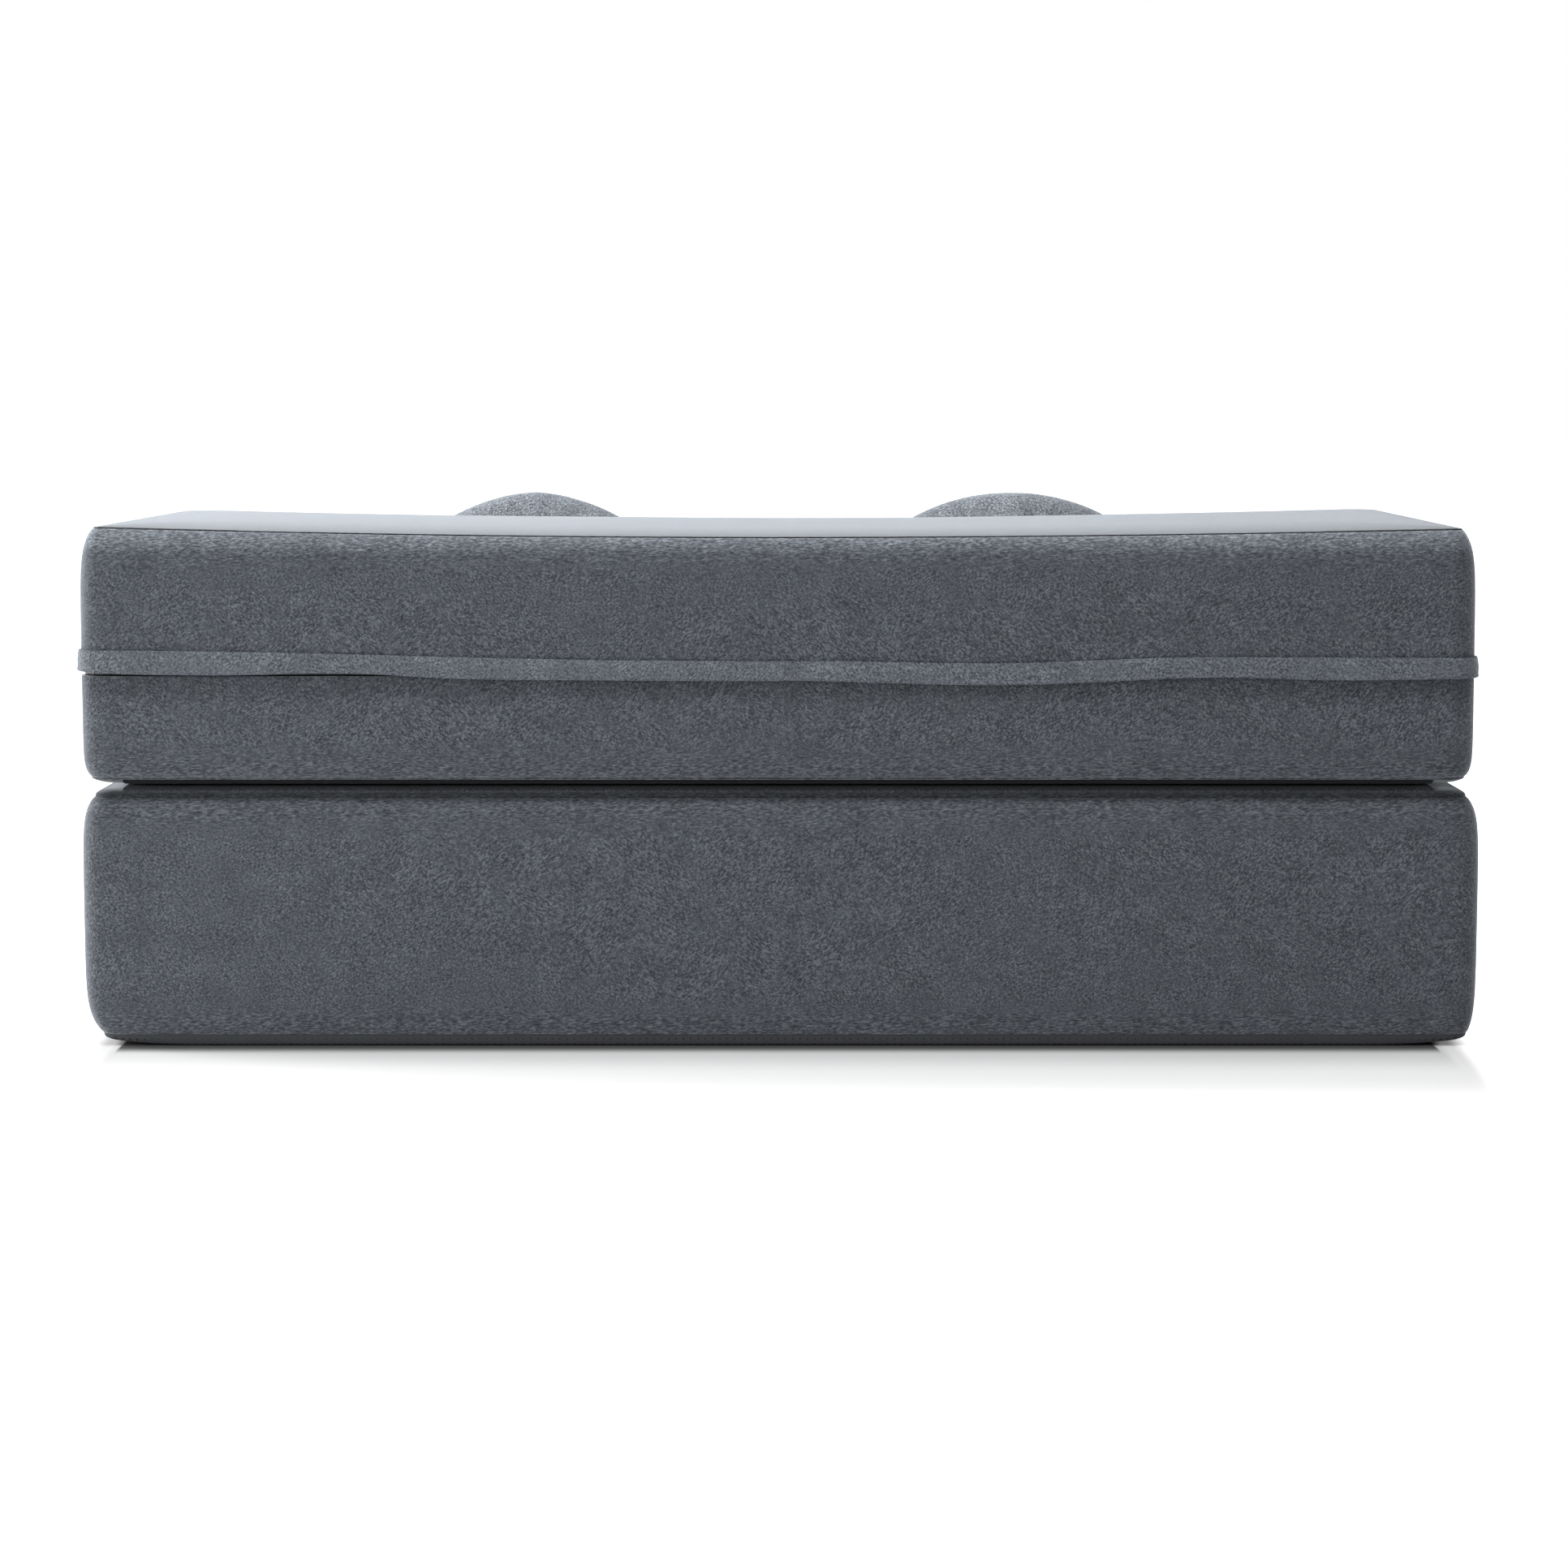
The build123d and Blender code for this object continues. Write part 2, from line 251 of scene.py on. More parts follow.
def ripple(places: np.ndarray, wavelength: float, seed: int, waves: int = 7) -> np.ndarray:
    """A soft, seeded undulation, as foam and cloth have over their length.

    Args:
        places: One row of x, y and z for each vertex.
        wavelength: Typical distance from one crest to the next, varied by RIPPLE_LENGTHS.
        seed: Seeds the directions and phases.
        waves: How many waves are added up.

    Returns:
        A value of about -1 to 1 for each vertex.
    """
    random = np.random.default_rng(seed)
    total = np.zeros(len(places))
    for _ in range(waves):
        direction = random.normal(size=3)
        direction /= np.linalg.norm(direction)
        length = wavelength * random.uniform(*RIPPLE_LENGTHS)
        total += np.sin(places @ direction * 2 * math.pi / length + random.uniform(0, 2 * math.pi))
    return total / math.sqrt(waves)


# Finishes


def add_node(
    tree: bpy.types.NodeTree, kind: str,
    settings: Optional[dict] = None, inputs: Optional[dict] = None,
) -> bpy.types.Node:
    """Adds a node to a material.

    Args:
        tree: The material's node tree.
        kind: The node's type name.
        settings: Values of the node's own properties.
        inputs: Values or sockets for its inputs, by name or number.

    Returns:
        The new node.
    """
    node = tree.nodes.new(kind)
    for name, value in (settings or {}).items():
        setattr(node, name, value)
    for name, value in (inputs or {}).items():
        if isinstance(value, bpy.types.NodeSocket):
            tree.links.new(value, node.inputs[name])
        else:
            node.inputs[name].default_value = value
    return node


def new_material(name: str) -> tuple[bpy.types.Material, bpy.types.NodeTree, bpy.types.Node]:
    """Makes an empty material with its output and a Principled shader.

    Args:
        name: The material's name.

    Returns:
        The material, its node tree and its Principled shader.
    """
    material = bpy.data.materials.new(name)
    material.use_nodes = True
    tree = material.node_tree
    tree.nodes.clear()
    shader = add_node(tree, "ShaderNodeBsdfPrincipled")
    add_node(tree, "ShaderNodeOutputMaterial", inputs={"Surface": shader.outputs["BSDF"]})
    return material, tree, shader


@dataclass(frozen=True)
class Shade:
    """A level of the rear wall where light or shade is painted into the plush's colour."""

    level: float
    full: float
    faded: float
    change: float


@dataclass(frozen=True)
class Plush:
    """Short-pile polyester plush, knitted and brushed. Its pile parts into fine strokes that
    lean one way here and the other way there, and run level along the seams, and its fibre
    ends catch the light where the cloth is seen along its surface. The strokes are drawn
    coarser than the real tufts, which are too fine to show in the render."""

    name: str = "short_pile_plush"
    body: str = "585c62"
    hollow: str = "393c41"
    raised: str = "7e838a"
    tone_stops: tuple[float, float, float] = (0.34, 0.5, 0.68)
    stroke_length: float = 3.0 * MM
    stroke_width: float = 1.6 * MM
    level_length: float = 5.5 * MM
    level_width: float = 1.6 * MM
    depth_share: float = 1.4
    distortion: float = 0.35
    lean: float = 38.0
    level_lean: float = 4.0
    lean_patch: float = 95 * MM
    lean_split: tuple[float, float] = (0.44, 0.60)
    patch: float = 34 * MM
    patch_span: tuple[float, float] = (0.3, 0.7)
    patch_lift: float = 0.12
    relief: float = 0.9 * MM
    relief_strength: float = 0.8
    seam_levels: tuple[float, ...] = ()
    seam_reach: float = 45 * MM
    seam_core: float = 0.3
    seam_share: float = 0.85
    roughness: float = 0.95
    specular: float = 0.15
    sheen: float = 1.0
    sheen_roughness: float = 0.4
    sheen_tint: str = "dde3ea"
    shades: tuple[Shade, ...] = ()
    shade_from: float = 0.6
    shade_full: float = 0.635

    def share_near(
        self, tree: bpy.types.NodeTree, height: bpy.types.NodeSocket, level: float,
        full: float, faded: float, share: float,
    ) -> bpy.types.NodeSocket:
        """Gives a share near a level that fades with the distance from it.

        Args:
            tree: The material's node tree.
            height: The height on the piece.
            level: The level.
            full: The distance up to which the share is full.
            faded: The distance at which nothing is left.
            share: The full share.

        Returns:
            The share here.
        """
        off = add_node(tree, "ShaderNodeMath", {"operation": "SUBTRACT"}, {0: height, 1: level})
        gap = add_node(tree, "ShaderNodeMath", {"operation": "ABSOLUTE"}, {0: off.outputs[0]})
        near = add_node(tree, "ShaderNodeMapRange", {"interpolation_type": "SMOOTHSTEP"}, {
            "Value": gap.outputs[0], "From Min": full, "From Max": faded,
            "To Min": share, "To Max": 0.0,
        })
        return near.outputs["Result"]

    def shade(
        self, tree: bpy.types.NodeTree, parts: bpy.types.Node, tone: bpy.types.NodeSocket
    ) -> bpy.types.NodeSocket:
        """Paints light or shade into the rear wall's colour at set levels.

        Args:
            tree: The material's node tree.
            parts: The node that gives the place on the piece as x, y and z.
            tone: The brightness before.

        Returns:
            The brightness after.
        """
        at_rear = add_node(tree, "ShaderNodeMapRange", {"interpolation_type": "SMOOTHSTEP"}, {
            "Value": parts.outputs["Y"], "From Min": self.shade_from, "From Max": self.shade_full,
        })
        for shade in self.shades:
            share = self.share_near(
                tree, parts.outputs["Z"], shade.level, shade.full, shade.faded, shade.change
            )
            here = add_node(tree, "ShaderNodeMath", {"operation": "MULTIPLY"}, {
                0: share, 1: at_rear.outputs["Result"],
            })
            part = add_node(tree, "ShaderNodeMath", {"operation": "MULTIPLY_ADD"}, {
                0: here.outputs["Value"], 1: tone, 2: tone,
            })
            tone = part.outputs["Value"]
        return tone

    def strokes(
        self, tree: bpy.types.NodeTree, place: bpy.types.NodeSocket, turn: float,
        length: float, width: float,
    ) -> bpy.types.NodeSocket:
        """Adds strokes of pile that lean by a number of degrees.

        Args:
            tree: The material's node tree.
            place: The place on the piece.
            turn: The lean, in degrees from level.
            length: The length of a stroke.
            width: The width of a stroke.

        Returns:
            The height of the pile, from 0 to 1.
        """
        along = add_node(tree, "ShaderNodeMapping", {"vector_type": "TEXTURE"}, {
            "Vector": place,
            "Rotation": (0, math.radians(turn), 0),
            "Scale": (length, width * self.depth_share, width),
        })
        pile = add_node(tree, "ShaderNodeTexNoise", inputs={
            "Vector": along.outputs["Vector"], "Scale": 1.0, "Detail": 2.0,
            "Roughness": FRACTAL_ROUGHNESS, "Distortion": self.distortion,
        })
        return pile.outputs["Fac"]

    def blend(
        self, tree: bpy.types.NodeTree, share: bpy.types.NodeSocket,
        first: bpy.types.NodeSocket, second: bpy.types.NodeSocket,
    ) -> bpy.types.NodeSocket:
        """Blends two heights of pile by a share.

        Args:
            tree: The material's node tree.
            share: The share of the second height.
            first: One height of pile.
            second: The other height of pile.

        Returns:
            The blended height.
        """
        mix = add_node(tree, "ShaderNodeMix", {"data_type": "FLOAT"}, {
            0: share, 2: first, 3: second,
        })
        return mix.outputs[0]

    def pile_height(
        self, tree: bpy.types.NodeTree, place: bpy.types.NodeSocket, height: bpy.types.NodeSocket
    ) -> bpy.types.NodeSocket:
        """Lays the strokes one way or the other in patches, and level along the seams.

        Args:
            tree: The material's node tree.
            place: The place on the piece.
            height: The height on the piece.

        Returns:
            The height of the pile, from 0 to 1.
        """
        lie = add_node(tree, "ShaderNodeTexNoise", inputs={
            "Vector": place, "Scale": 1 / self.lean_patch, "Detail": 1.0,
        })
        one_way, other_way = self.lean_split
        lean_share = add_node(tree, "ShaderNodeMapRange", {"interpolation_type": "SMOOTHSTEP"}, {
            "Value": lie.outputs["Fac"], "From Min": one_way, "From Max": other_way,
        })
        pile = self.blend(
            tree, lean_share.outputs["Result"],
            self.strokes(tree, place, self.lean, self.stroke_length, self.stroke_width),
            self.strokes(tree, place, -self.lean, self.stroke_length, self.stroke_width),
        )
        level_pile = self.strokes(
            tree, place, self.level_lean, self.level_length, self.level_width
        )
        for level in self.seam_levels:
            near = self.share_near(
                tree, height, level, self.seam_reach * self.seam_core, self.seam_reach,
                self.seam_share,
            )
            pile = self.blend(tree, near, pile, level_pile)
        return pile

    def material(self) -> bpy.types.Material:
        """Builds the cloth from its strokes, its patches and the sheen of its fibre ends.

        Returns:
            The material.
        """
        material, tree, shader = new_material(self.name)
        place = add_node(tree, "ShaderNodeTexCoord").outputs["Object"]
        parts = add_node(tree, "ShaderNodeSeparateXYZ", inputs={"Vector": place})
        pile = self.pile_height(tree, place, parts.outputs["Z"])
        patches = add_node(tree, "ShaderNodeTexNoise", inputs={
            "Vector": place, "Scale": 1 / self.patch, "Detail": 3.0, "Roughness": FRACTAL_ROUGHNESS,
        })
        tone = add_node(tree, "ShaderNodeValToRGB", inputs={"Fac": pile})
        ramp = tone.color_ramp
        low, middle, high = self.tone_stops
        ramp.elements[0].position, ramp.elements[0].color = low, srgb(self.hollow)
        ramp.elements[1].position, ramp.elements[1].color = high, srgb(self.raised)
        ramp.elements.new(middle).color = srgb(self.body)
        dull, bright = self.patch_span
        lift = add_node(tree, "ShaderNodeMapRange", inputs={
            "Value": patches.outputs["Fac"], "From Min": dull, "From Max": bright,
            "To Min": 1 - self.patch_lift, "To Max": 1 + self.patch_lift,
        })
        colour = add_node(tree, "ShaderNodeVectorMath", {"operation": "SCALE"}, {
            0: tone.outputs["Color"], "Scale": self.shade(tree, parts, lift.outputs["Result"]),
        })
        bump = add_node(tree, "ShaderNodeBump", inputs={
            "Height": pile, "Distance": self.relief, "Strength": self.relief_strength,
        })
        tree.links.new(colour.outputs["Vector"], shader.inputs["Base Color"])
        tree.links.new(bump.outputs["Normal"], shader.inputs["Normal"])
        shader.inputs["Roughness"].default_value = self.roughness
        shader.inputs["Specular IOR Level"].default_value = self.specular
        shader.inputs["Sheen Weight"].default_value = self.sheen
        shader.inputs["Sheen Roughness"].default_value = self.sheen_roughness
        shader.inputs["Sheen Tint"].default_value = srgb(self.sheen_tint)
        return material


@dataclass(frozen=True)
class GripFabric:
    """Polyester non-slip fabric with printed rubber dots, which show as small dark beads."""

    name: str = "dotted_grip_fabric"
    ground: str = "3a3c40"
    dot: str = "1a1a1c"
    pitch: float = 8 * MM
    dot_share: float = 0.28
    edge_share: float = 0.1
    dot_height: float = 0.6 * MM
    roughness: float = 0.7

    def material(self) -> bpy.types.Material:
        """Builds the cloth with its beads of rubber.

        Returns:
            The material.
        """
        material, tree, shader = new_material(self.name)
        place = add_node(tree, "ShaderNodeTexCoord").outputs["Object"]
        dots = add_node(tree, "ShaderNodeTexVoronoi", inputs={
            "Vector": place, "Scale": 1 / self.pitch, "Randomness": 0.0,
        })
        bead = add_node(tree, "ShaderNodeMapRange", {"interpolation_type": "SMOOTHSTEP"}, {
            "Value": dots.outputs["Distance"],
            "From Min": self.dot_share, "From Max": self.dot_share + self.edge_share,
            "To Min": 1.0, "To Max": 0.0,
        })
        colour = add_node(tree, "ShaderNodeMix", {"data_type": "RGBA"}, {
            "Factor": bead.outputs["Result"], "A": srgb(self.ground), "B": srgb(self.dot),
        })
        bump = add_node(tree, "ShaderNodeBump", inputs={
            "Height": bead.outputs["Result"], "Distance": self.dot_height,
        })
        tree.links.new(colour.outputs["Result"], shader.inputs["Base Color"])
        tree.links.new(bump.outputs["Normal"], shader.inputs["Normal"])
        shader.inputs["Roughness"].default_value = self.roughness
        return material


@dataclass(frozen=True)
class SoftGround:
    """A matt, slightly uneven ground: knitted liner, cut foam, fibre or woven tape. Its grain
    breaks the light up as threads, cells or tangled fibre do."""

    name: str
    light: str
    dark: str
    grain: float
    relief: float
    roughness: float = 0.9
    tone_stops: tuple[float, float] = (0.38, 0.62)

    def material(self) -> bpy.types.Material:
        """Builds the ground from one grain at its real size.

        Returns:
            The material.
        """
        material, tree, shader = new_material(self.name)
        place = add_node(tree, "ShaderNodeTexCoord").outputs["Object"]
        grain = add_node(tree, "ShaderNodeTexNoise", inputs={
            "Vector": place, "Scale": 1 / self.grain, "Detail": 3.0, "Roughness": FRACTAL_ROUGHNESS,
        })
        tone = add_node(tree, "ShaderNodeValToRGB", inputs={"Fac": grain.outputs["Fac"]})
        ramp = tone.color_ramp
        low, high = self.tone_stops
        ramp.elements[0].position, ramp.elements[0].color = low, srgb(self.dark)
        ramp.elements[1].position, ramp.elements[1].color = high, srgb(self.light)
        bump = add_node(tree, "ShaderNodeBump", inputs={
            "Height": grain.outputs["Fac"], "Distance": self.relief,
        })
        tree.links.new(tone.outputs["Color"], shader.inputs["Base Color"])
        tree.links.new(bump.outputs["Normal"], shader.inputs["Normal"])
        shader.inputs["Roughness"].default_value = self.roughness
        return material


@dataclass(frozen=True)
class CoilRow:
    """A row of nylon coil, wound from a single filament, whose turns show as fine ribs across
    the row at a real 1.2 mm pitch."""

    name: str = "nylon_coil"
    top: str = "33373c"
    # The valleys between the turns are darker by painted shade.
    painted_valley_shade: str = "16181a"
    pitch: float = 1.2 * MM
    relief: float = 0.4 * MM
    roughness: float = 0.35
    ior: float = 1.53

    def material(self) -> bpy.types.Material:
        """Builds the ribs along both the rear and the ends, where the row runs along x or y.

        Returns:
            The material.
        """
        material, tree, shader = new_material(self.name)
        place = add_node(tree, "ShaderNodeTexCoord").outputs["Object"]
        parts = add_node(tree, "ShaderNodeSeparateXYZ", inputs={"Vector": place})
        run = add_node(tree, "ShaderNodeMath", {"operation": "ADD"}, {
            0: parts.outputs["X"], 1: parts.outputs["Y"],
        })
        turns = add_node(tree, "ShaderNodeMath", {"operation": "MULTIPLY"}, {
            0: run.outputs["Value"], 1: 2 * math.pi / self.pitch,
        })
        rib = add_node(tree, "ShaderNodeMath", {"operation": "SINE"}, {0: turns.outputs["Value"]})
        height = add_node(tree, "ShaderNodeMapRange", inputs={
            "Value": rib.outputs["Value"], "From Min": -1.0, "From Max": 1.0,
        })
        colour = add_node(tree, "ShaderNodeMix", {"data_type": "RGBA"}, {
            "Factor": height.outputs["Result"], "A": srgb(self.painted_valley_shade), "B": srgb(self.top),
        })
        bump = add_node(tree, "ShaderNodeBump", inputs={
            "Height": height.outputs["Result"], "Distance": self.relief,
        })
        tree.links.new(colour.outputs["Result"], shader.inputs["Base Color"])
        tree.links.new(bump.outputs["Normal"], shader.inputs["Normal"])
        shader.inputs["Roughness"].default_value = self.roughness
        shader.inputs["IOR"].default_value = self.ior
        return material


@dataclass(frozen=True)
class PlatedZinc:
    """Die-cast zinc with a dark nickel plate, barrel polished: a soft metal gleam with a fine
    unevenness from the cast."""

    name: str = "nickel_plated_zinc"
    colour: str = "8d9094"
    wear: str = "6e7175"
    grain: float = 1.5 * MM
    roughness: tuple[float, float] = (0.22, 0.4)

    def material(self) -> bpy.types.Material:
        """Builds the metal with its fine cast grain.

        Returns:
            The material.
        """
        material, tree, shader = new_material(self.name)
        place = add_node(tree, "ShaderNodeTexCoord").outputs["Object"]
        grain = add_node(tree, "ShaderNodeTexNoise", inputs={
            "Vector": place, "Scale": 1 / self.grain, "Detail": 2.0,
        })
        colour = add_node(tree, "ShaderNodeMix", {"data_type": "RGBA"}, {
            "Factor": grain.outputs["Fac"], "A": srgb(self.wear), "B": srgb(self.colour),
        })
        smooth, dull = self.roughness
        rough = add_node(tree, "ShaderNodeMapRange", inputs={
            "Value": grain.outputs["Fac"], "To Min": smooth, "To Max": dull,
        })
        tree.links.new(colour.outputs["Result"], shader.inputs["Base Color"])
        tree.links.new(rough.outputs["Result"], shader.inputs["Roughness"])
        shader.inputs["Metallic"].default_value = 1.0
        return material


# Foam sections


class Side(Enum):
    """The upper or the lower face of a foam section."""

    UPPER = 1
    LOWER = -1


@dataclass
class Fold:
    """How a wall of the cover draws in to one of its seams, and how the face crowns over it."""

    draw: float
    reach: float
    crown: float
    crown_reach: float


@dataclass
class Section:
    """A foam section in its plush cover, which is sewn from two faces and a side band.

    Attributes:
        lift, low_lift: How far the upper and the lower seam stand above the frame's.
        sag, twist: How far the middle of the top lies lower, and one rear corner higher.
        proud, shift, skew: How far the walls stand out, stand to one side and lean.
        squeeze, top_squeeze: How far the ends draw in at the lower and the upper seam.
        end_rise: The share of its crown that the lower face loses at both ends.
    """

    name: str
    body: str
    seed: int
    lower: Fold
    upper: Fold
    lower_finish: bpy.types.Material
    finish: bpy.types.Material
    upper_finish: bpy.types.Material
    lower_slot: str = "plush"
    has_zip: bool = False
    sag: float = 0.0
    sag_margin: float = 30 * MM
    sag_power: float = 1.9
    lift: float = 0.0
    low_lift: float = 0.0
    twist: float = 0.0
    proud: float = 0.0
    shift: float = 0.0
    skew: float = 0.0
    squeeze: float = 0.0
    squeeze_reach: float = 18 * MM
    top_squeeze: float = 0.0
    top_squeeze_reach: float = 15 * MM
    end_rise: float = 0.0
    end_rise_reach: float = 110 * MM
    lip: float = 1.3 * MM
    lip_reach: float = 0.8 * MM
    rows: int = 44
    row_evenness: float = 0.45
    slit_rows: tuple[int, int] = (19, 21)
    slit_margin: float = 1.8 * MM
    turn_in: float = 0.03
    corner: float = 28 * MM
    cloth: float = 3 * MM
    cell: float = 11 * MM
    face_cell_share: float = 1.1
    face_spacing: float = 1.6
    seam_depth: float = 2.2 * MM
    seam_roll: float = 1.1 * MM
    face_roll_share: float = 0.3
    face_tuck: float = 1.5 * MM
    end_pull: float = 4 * MM
    pull_power: int = 4
    unevenness: float = 1.2 * MM
    wall_wave: float = 0.42
    wall_share: float = 0.5
    top_wave: float = 0.5
    top_share: float = 0.4
    top_margin: float = 90 * MM
    merge: float = 0.05 * MM

    def __post_init__(self) -> None:
        """Takes the section's place from the frame."""
        low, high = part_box(f"{self.name}_side_band")
        self.half_width = (high.x - low.x) / 2 + self.proud
        self.rear, self.front = high.y, low.y
        self.low_seam, self.high_seam = low.z, high.z
        self.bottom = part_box(f"{self.name}_bottom_panel")[0].z
        self.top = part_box(f"{self.name}_top_panel")[1].z
        self.middle = (0.0, (self.rear + self.front) / 2, (self.bottom + self.top) / 2)
        if self.has_zip:
            self.slit_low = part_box("back_zip_lower_coil")[0].z - self.slit_margin
            self.slit_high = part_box("back_zip_upper_coil")[1].z + self.slit_margin
            self.slit_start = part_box("back_zip_stops")[0].y

    def outline(self, share: np.ndarray, inset: np.ndarray) -> tuple[np.ndarray, np.ndarray]:
        """Walks round the rounded outline of the section.

        Args:
            share: How far round, from 0 to 1, from the middle of the front to the left.
            inset: How far inside the fullest line of the wall.

        Returns:
            The x and y of each place.
        """
        half_x = self.half_width - self.corner
        half_y = (self.rear - self.front) / 2 - self.corner
        arc = self.corner * math.pi / 2
        legs = [half_x, arc, 2 * half_y, arc, 2 * half_x, arc, 2 * half_y, arc, half_x]
        marks = np.concatenate([[0], np.cumsum(legs)])
        run = np.clip(share, 0, 1) * marks[-1]
        leg = np.clip(np.searchsorted(marks, run, side="right") - 1, 0, len(legs) - 1)
        t = (run - marks[leg]) / np.array(legs)[leg]
        radius = self.corner - inset
        x, y = np.zeros_like(run), np.zeros_like(run)
        corners = {1: (1, -1, -90), 3: (1, 1, 0), 5: (-1, 1, 90), 7: (-1, -1, 180)}
        for number, (sx, sy, start) in corners.items():
            here = leg == number
            turn = np.radians(start + 90 * t[here])
            x[here] = sx * half_x + radius[here] * np.cos(turn)
            y[here] = sy * half_y + radius[here] * np.sin(turn)
        straight = {
            0: (0, 1, -1, -1), 2: (1, 1, -1, 1), 4: (1, -1, 1, 1), 6: (-1, -1, 1, -1),
            8: (-1, 0, -1, -1),
        }
        for number, (x0, x1, y0, y1) in straight.items():
            here = leg == number
            along_x = x0 != x1
            x[here] = half_x * (x0 + (x1 - x0) * t[here])
            y[here] = half_y * (y0 + (y1 - y0) * t[here])
            if along_x:
                y[here] += np.sign(y0) * radius[here]
            else:
                x[here] += np.sign(x0) * radius[here]
        return x, y + self.middle[1]

    def sink(self, x: np.ndarray, y: np.ndarray) -> np.ndarray:
        """How far the upper face lies below its highest line, which is near its two ends.

        Args:
            x: The place across.
            y: The place from front to rear.

        Returns:
            The depth below that line at each place.
        """
        reach = np.clip(np.abs(x) / (self.half_width - self.sag_margin), 0, 1)
        right = np.clip(-x / self.half_width, 0, 1) ** 2
        rearwards = (y - self.middle[1]) / ((self.rear - self.front) / 2)
        return self.sag * (1 - reach ** self.sag_power) + self.twist * right * rearwards

    def seam_level(self, side: Side, x: np.ndarray, y: np.ndarray) -> np.ndarray:
        """The height of a seam round the section.

        Args:
            side: The upper or the lower seam.
            x: The place across.
            y: The place from front to rear.

        Returns:
            The seam's height at each place.
        """
        if side is Side.LOWER:
            return np.full_like(x, self.low_seam + self.low_lift)
        return self.high_seam + self.lift - self.sink(x, y)

    def settle(self, places: np.ndarray) -> np.ndarray:
        """Stands the section a little to one side and draws its ends in at both seams.

        Args:
            places: One row of x, y and z for each vertex.

        Returns:
            The settled places.
        """
        places = places.copy()
        above = np.maximum(places[:, 2] - self.low_seam - self.low_lift, 0)
        below = np.maximum(self.high_seam + self.lift - places[:, 2], 0)
        side = places[:, 0] / self.half_width
        squeeze = (self.skew + self.squeeze * side) * np.exp(-above / self.squeeze_reach)
        squeeze += self.top_squeeze * side * np.exp(-below / self.top_squeeze_reach)
        places[:, 0] += self.shift - squeeze
        return places

    def ease(self, inner: np.ndarray) -> np.ndarray:
        """Spaces the rows of the band, closer together near its two seams."""
        even = self.row_evenness
        return even * inner + (1 - even) * (1 - np.cos(math.pi * inner)) / 2

    def row_level(self, inner: np.ndarray, low: np.ndarray, high: np.ndarray) -> np.ndarray:
        """The height of each row of the band, with two level rows along the slit for the zip.

        Args:
            inner: How far up between the two seams, from 0 to 1.
            low: The lower seam's height.
            high: The upper seam's height.

        Returns:
            The height of each place.
        """
        share = self.ease(inner)
        if not self.has_zip:
            return low + (high - low) * share
        marks = np.array(self.slit_rows) / self.rows
        first, second = self.ease((marks - self.turn_in) / (1 - 2 * self.turn_in))
        slit = self.slit_high - self.slit_low
        below = low + (self.slit_low - low) * share / first
        within = self.slit_low + slit * (share - first) / (second - first)
        over = self.slit_high + (high - self.slit_high) * (share - second) / (1 - second)
        return np.where(share < first, below, np.where(share < second, within, over))

    def wall_inset(self, above: np.ndarray, below: np.ndarray) -> np.ndarray:
        """How far the wall is drawn in, from the distances to its lower and upper seams.

        Args:
            above: The distance above the lower seam.
            below: The distance below the upper seam.

        Returns:
            How far the wall is drawn in at each place.
        """
        return (
            self.lower.draw * np.exp(-above / self.lower.reach)
            + self.upper.draw * np.exp(-below / self.upper.reach)
        )

    def band_shape(self, across: np.ndarray, up: np.ndarray) -> np.ndarray:
        """Places the side band, with its sewn edges turned in.

        Args:
            across: The share of the way round, from 0 to 1.
            up: The share of the way up.

        Returns:
            One row of x, y and z for each vertex.
        """
        turn_in = self.turn_in
        inner = np.clip((up - turn_in) / (1 - 2 * turn_in), 0, 1)
        x, y = self.outline(across, np.zeros_like(across))
        low = self.seam_level(Side.LOWER, x, y)
        high = self.seam_level(Side.UPPER, x, y)
        z = self.row_level(inner, low, high)
        inset = self.wall_inset(z - low, high - z)
        tuck_low = np.clip((turn_in - up) / turn_in, 0, 1)
        tuck_high = np.clip((up - 1 + turn_in) / turn_in, 0, 1)
        tuck = np.maximum(tuck_low, tuck_high)
        inset = inset + self.seam_depth * tuck + self.seam_roll * (1 - np.cos(tuck * math.pi)) / 4
        inset += self.pull(x, y) * ((2 * inner - 1) ** self.pull_power)
        x, y = self.outline(across, inset)
        places = np.stack([x, y, z], axis=1)
        return self.settle(self.uneven(places, inner))

    def cut_slit(self, band: bpy.types.Object) -> None:
        """Opens the side band along the zip.

        Args:
            band: The side band.
        """
        centres = np.empty(len(band.data.polygons) * 3)
        band.data.polygons.foreach_get("center", centres)
        centres = centres.reshape(-1, 3)
        inside = (centres[:, 2] > self.slit_low) & (centres[:, 2] < self.slit_high)
        inside &= centres[:, 1] > self.slit_start
        activate(band)
        bpy.ops.object.mode_set(mode="EDIT")
        bpy.ops.mesh.select_mode(type="FACE")
        bpy.ops.mesh.select_all(action="DESELECT")
        bpy.ops.object.mode_set(mode="OBJECT")
        band.data.polygons.foreach_set("select", inside)
        bpy.ops.object.mode_set(mode="EDIT")
        bpy.ops.mesh.delete(type="FACE")
        bpy.ops.mesh.select_mode(type="VERT")
        bpy.ops.object.mode_set(mode="OBJECT")

    def pull(self, x: np.ndarray, y: np.ndarray) -> np.ndarray:
        """How far the ends and the front are pulled in between their corners.

        Args:
            x: The place across.
            y: The place from front to rear.

        Returns:
            How far the wall is pulled in at each place.
        """
        end = 1 - np.clip(np.abs(y - self.middle[1]) / ((self.rear - self.front) / 2), 0, 1) ** 2
        front = 1 - np.clip(np.abs(x) / self.half_width, 0, 1) ** 2
        on_end = np.abs(x) > self.half_width - self.corner
        on_front = y < self.front + self.corner
        return self.end_pull * np.where(on_end, end, np.where(on_front, front, 0.0))

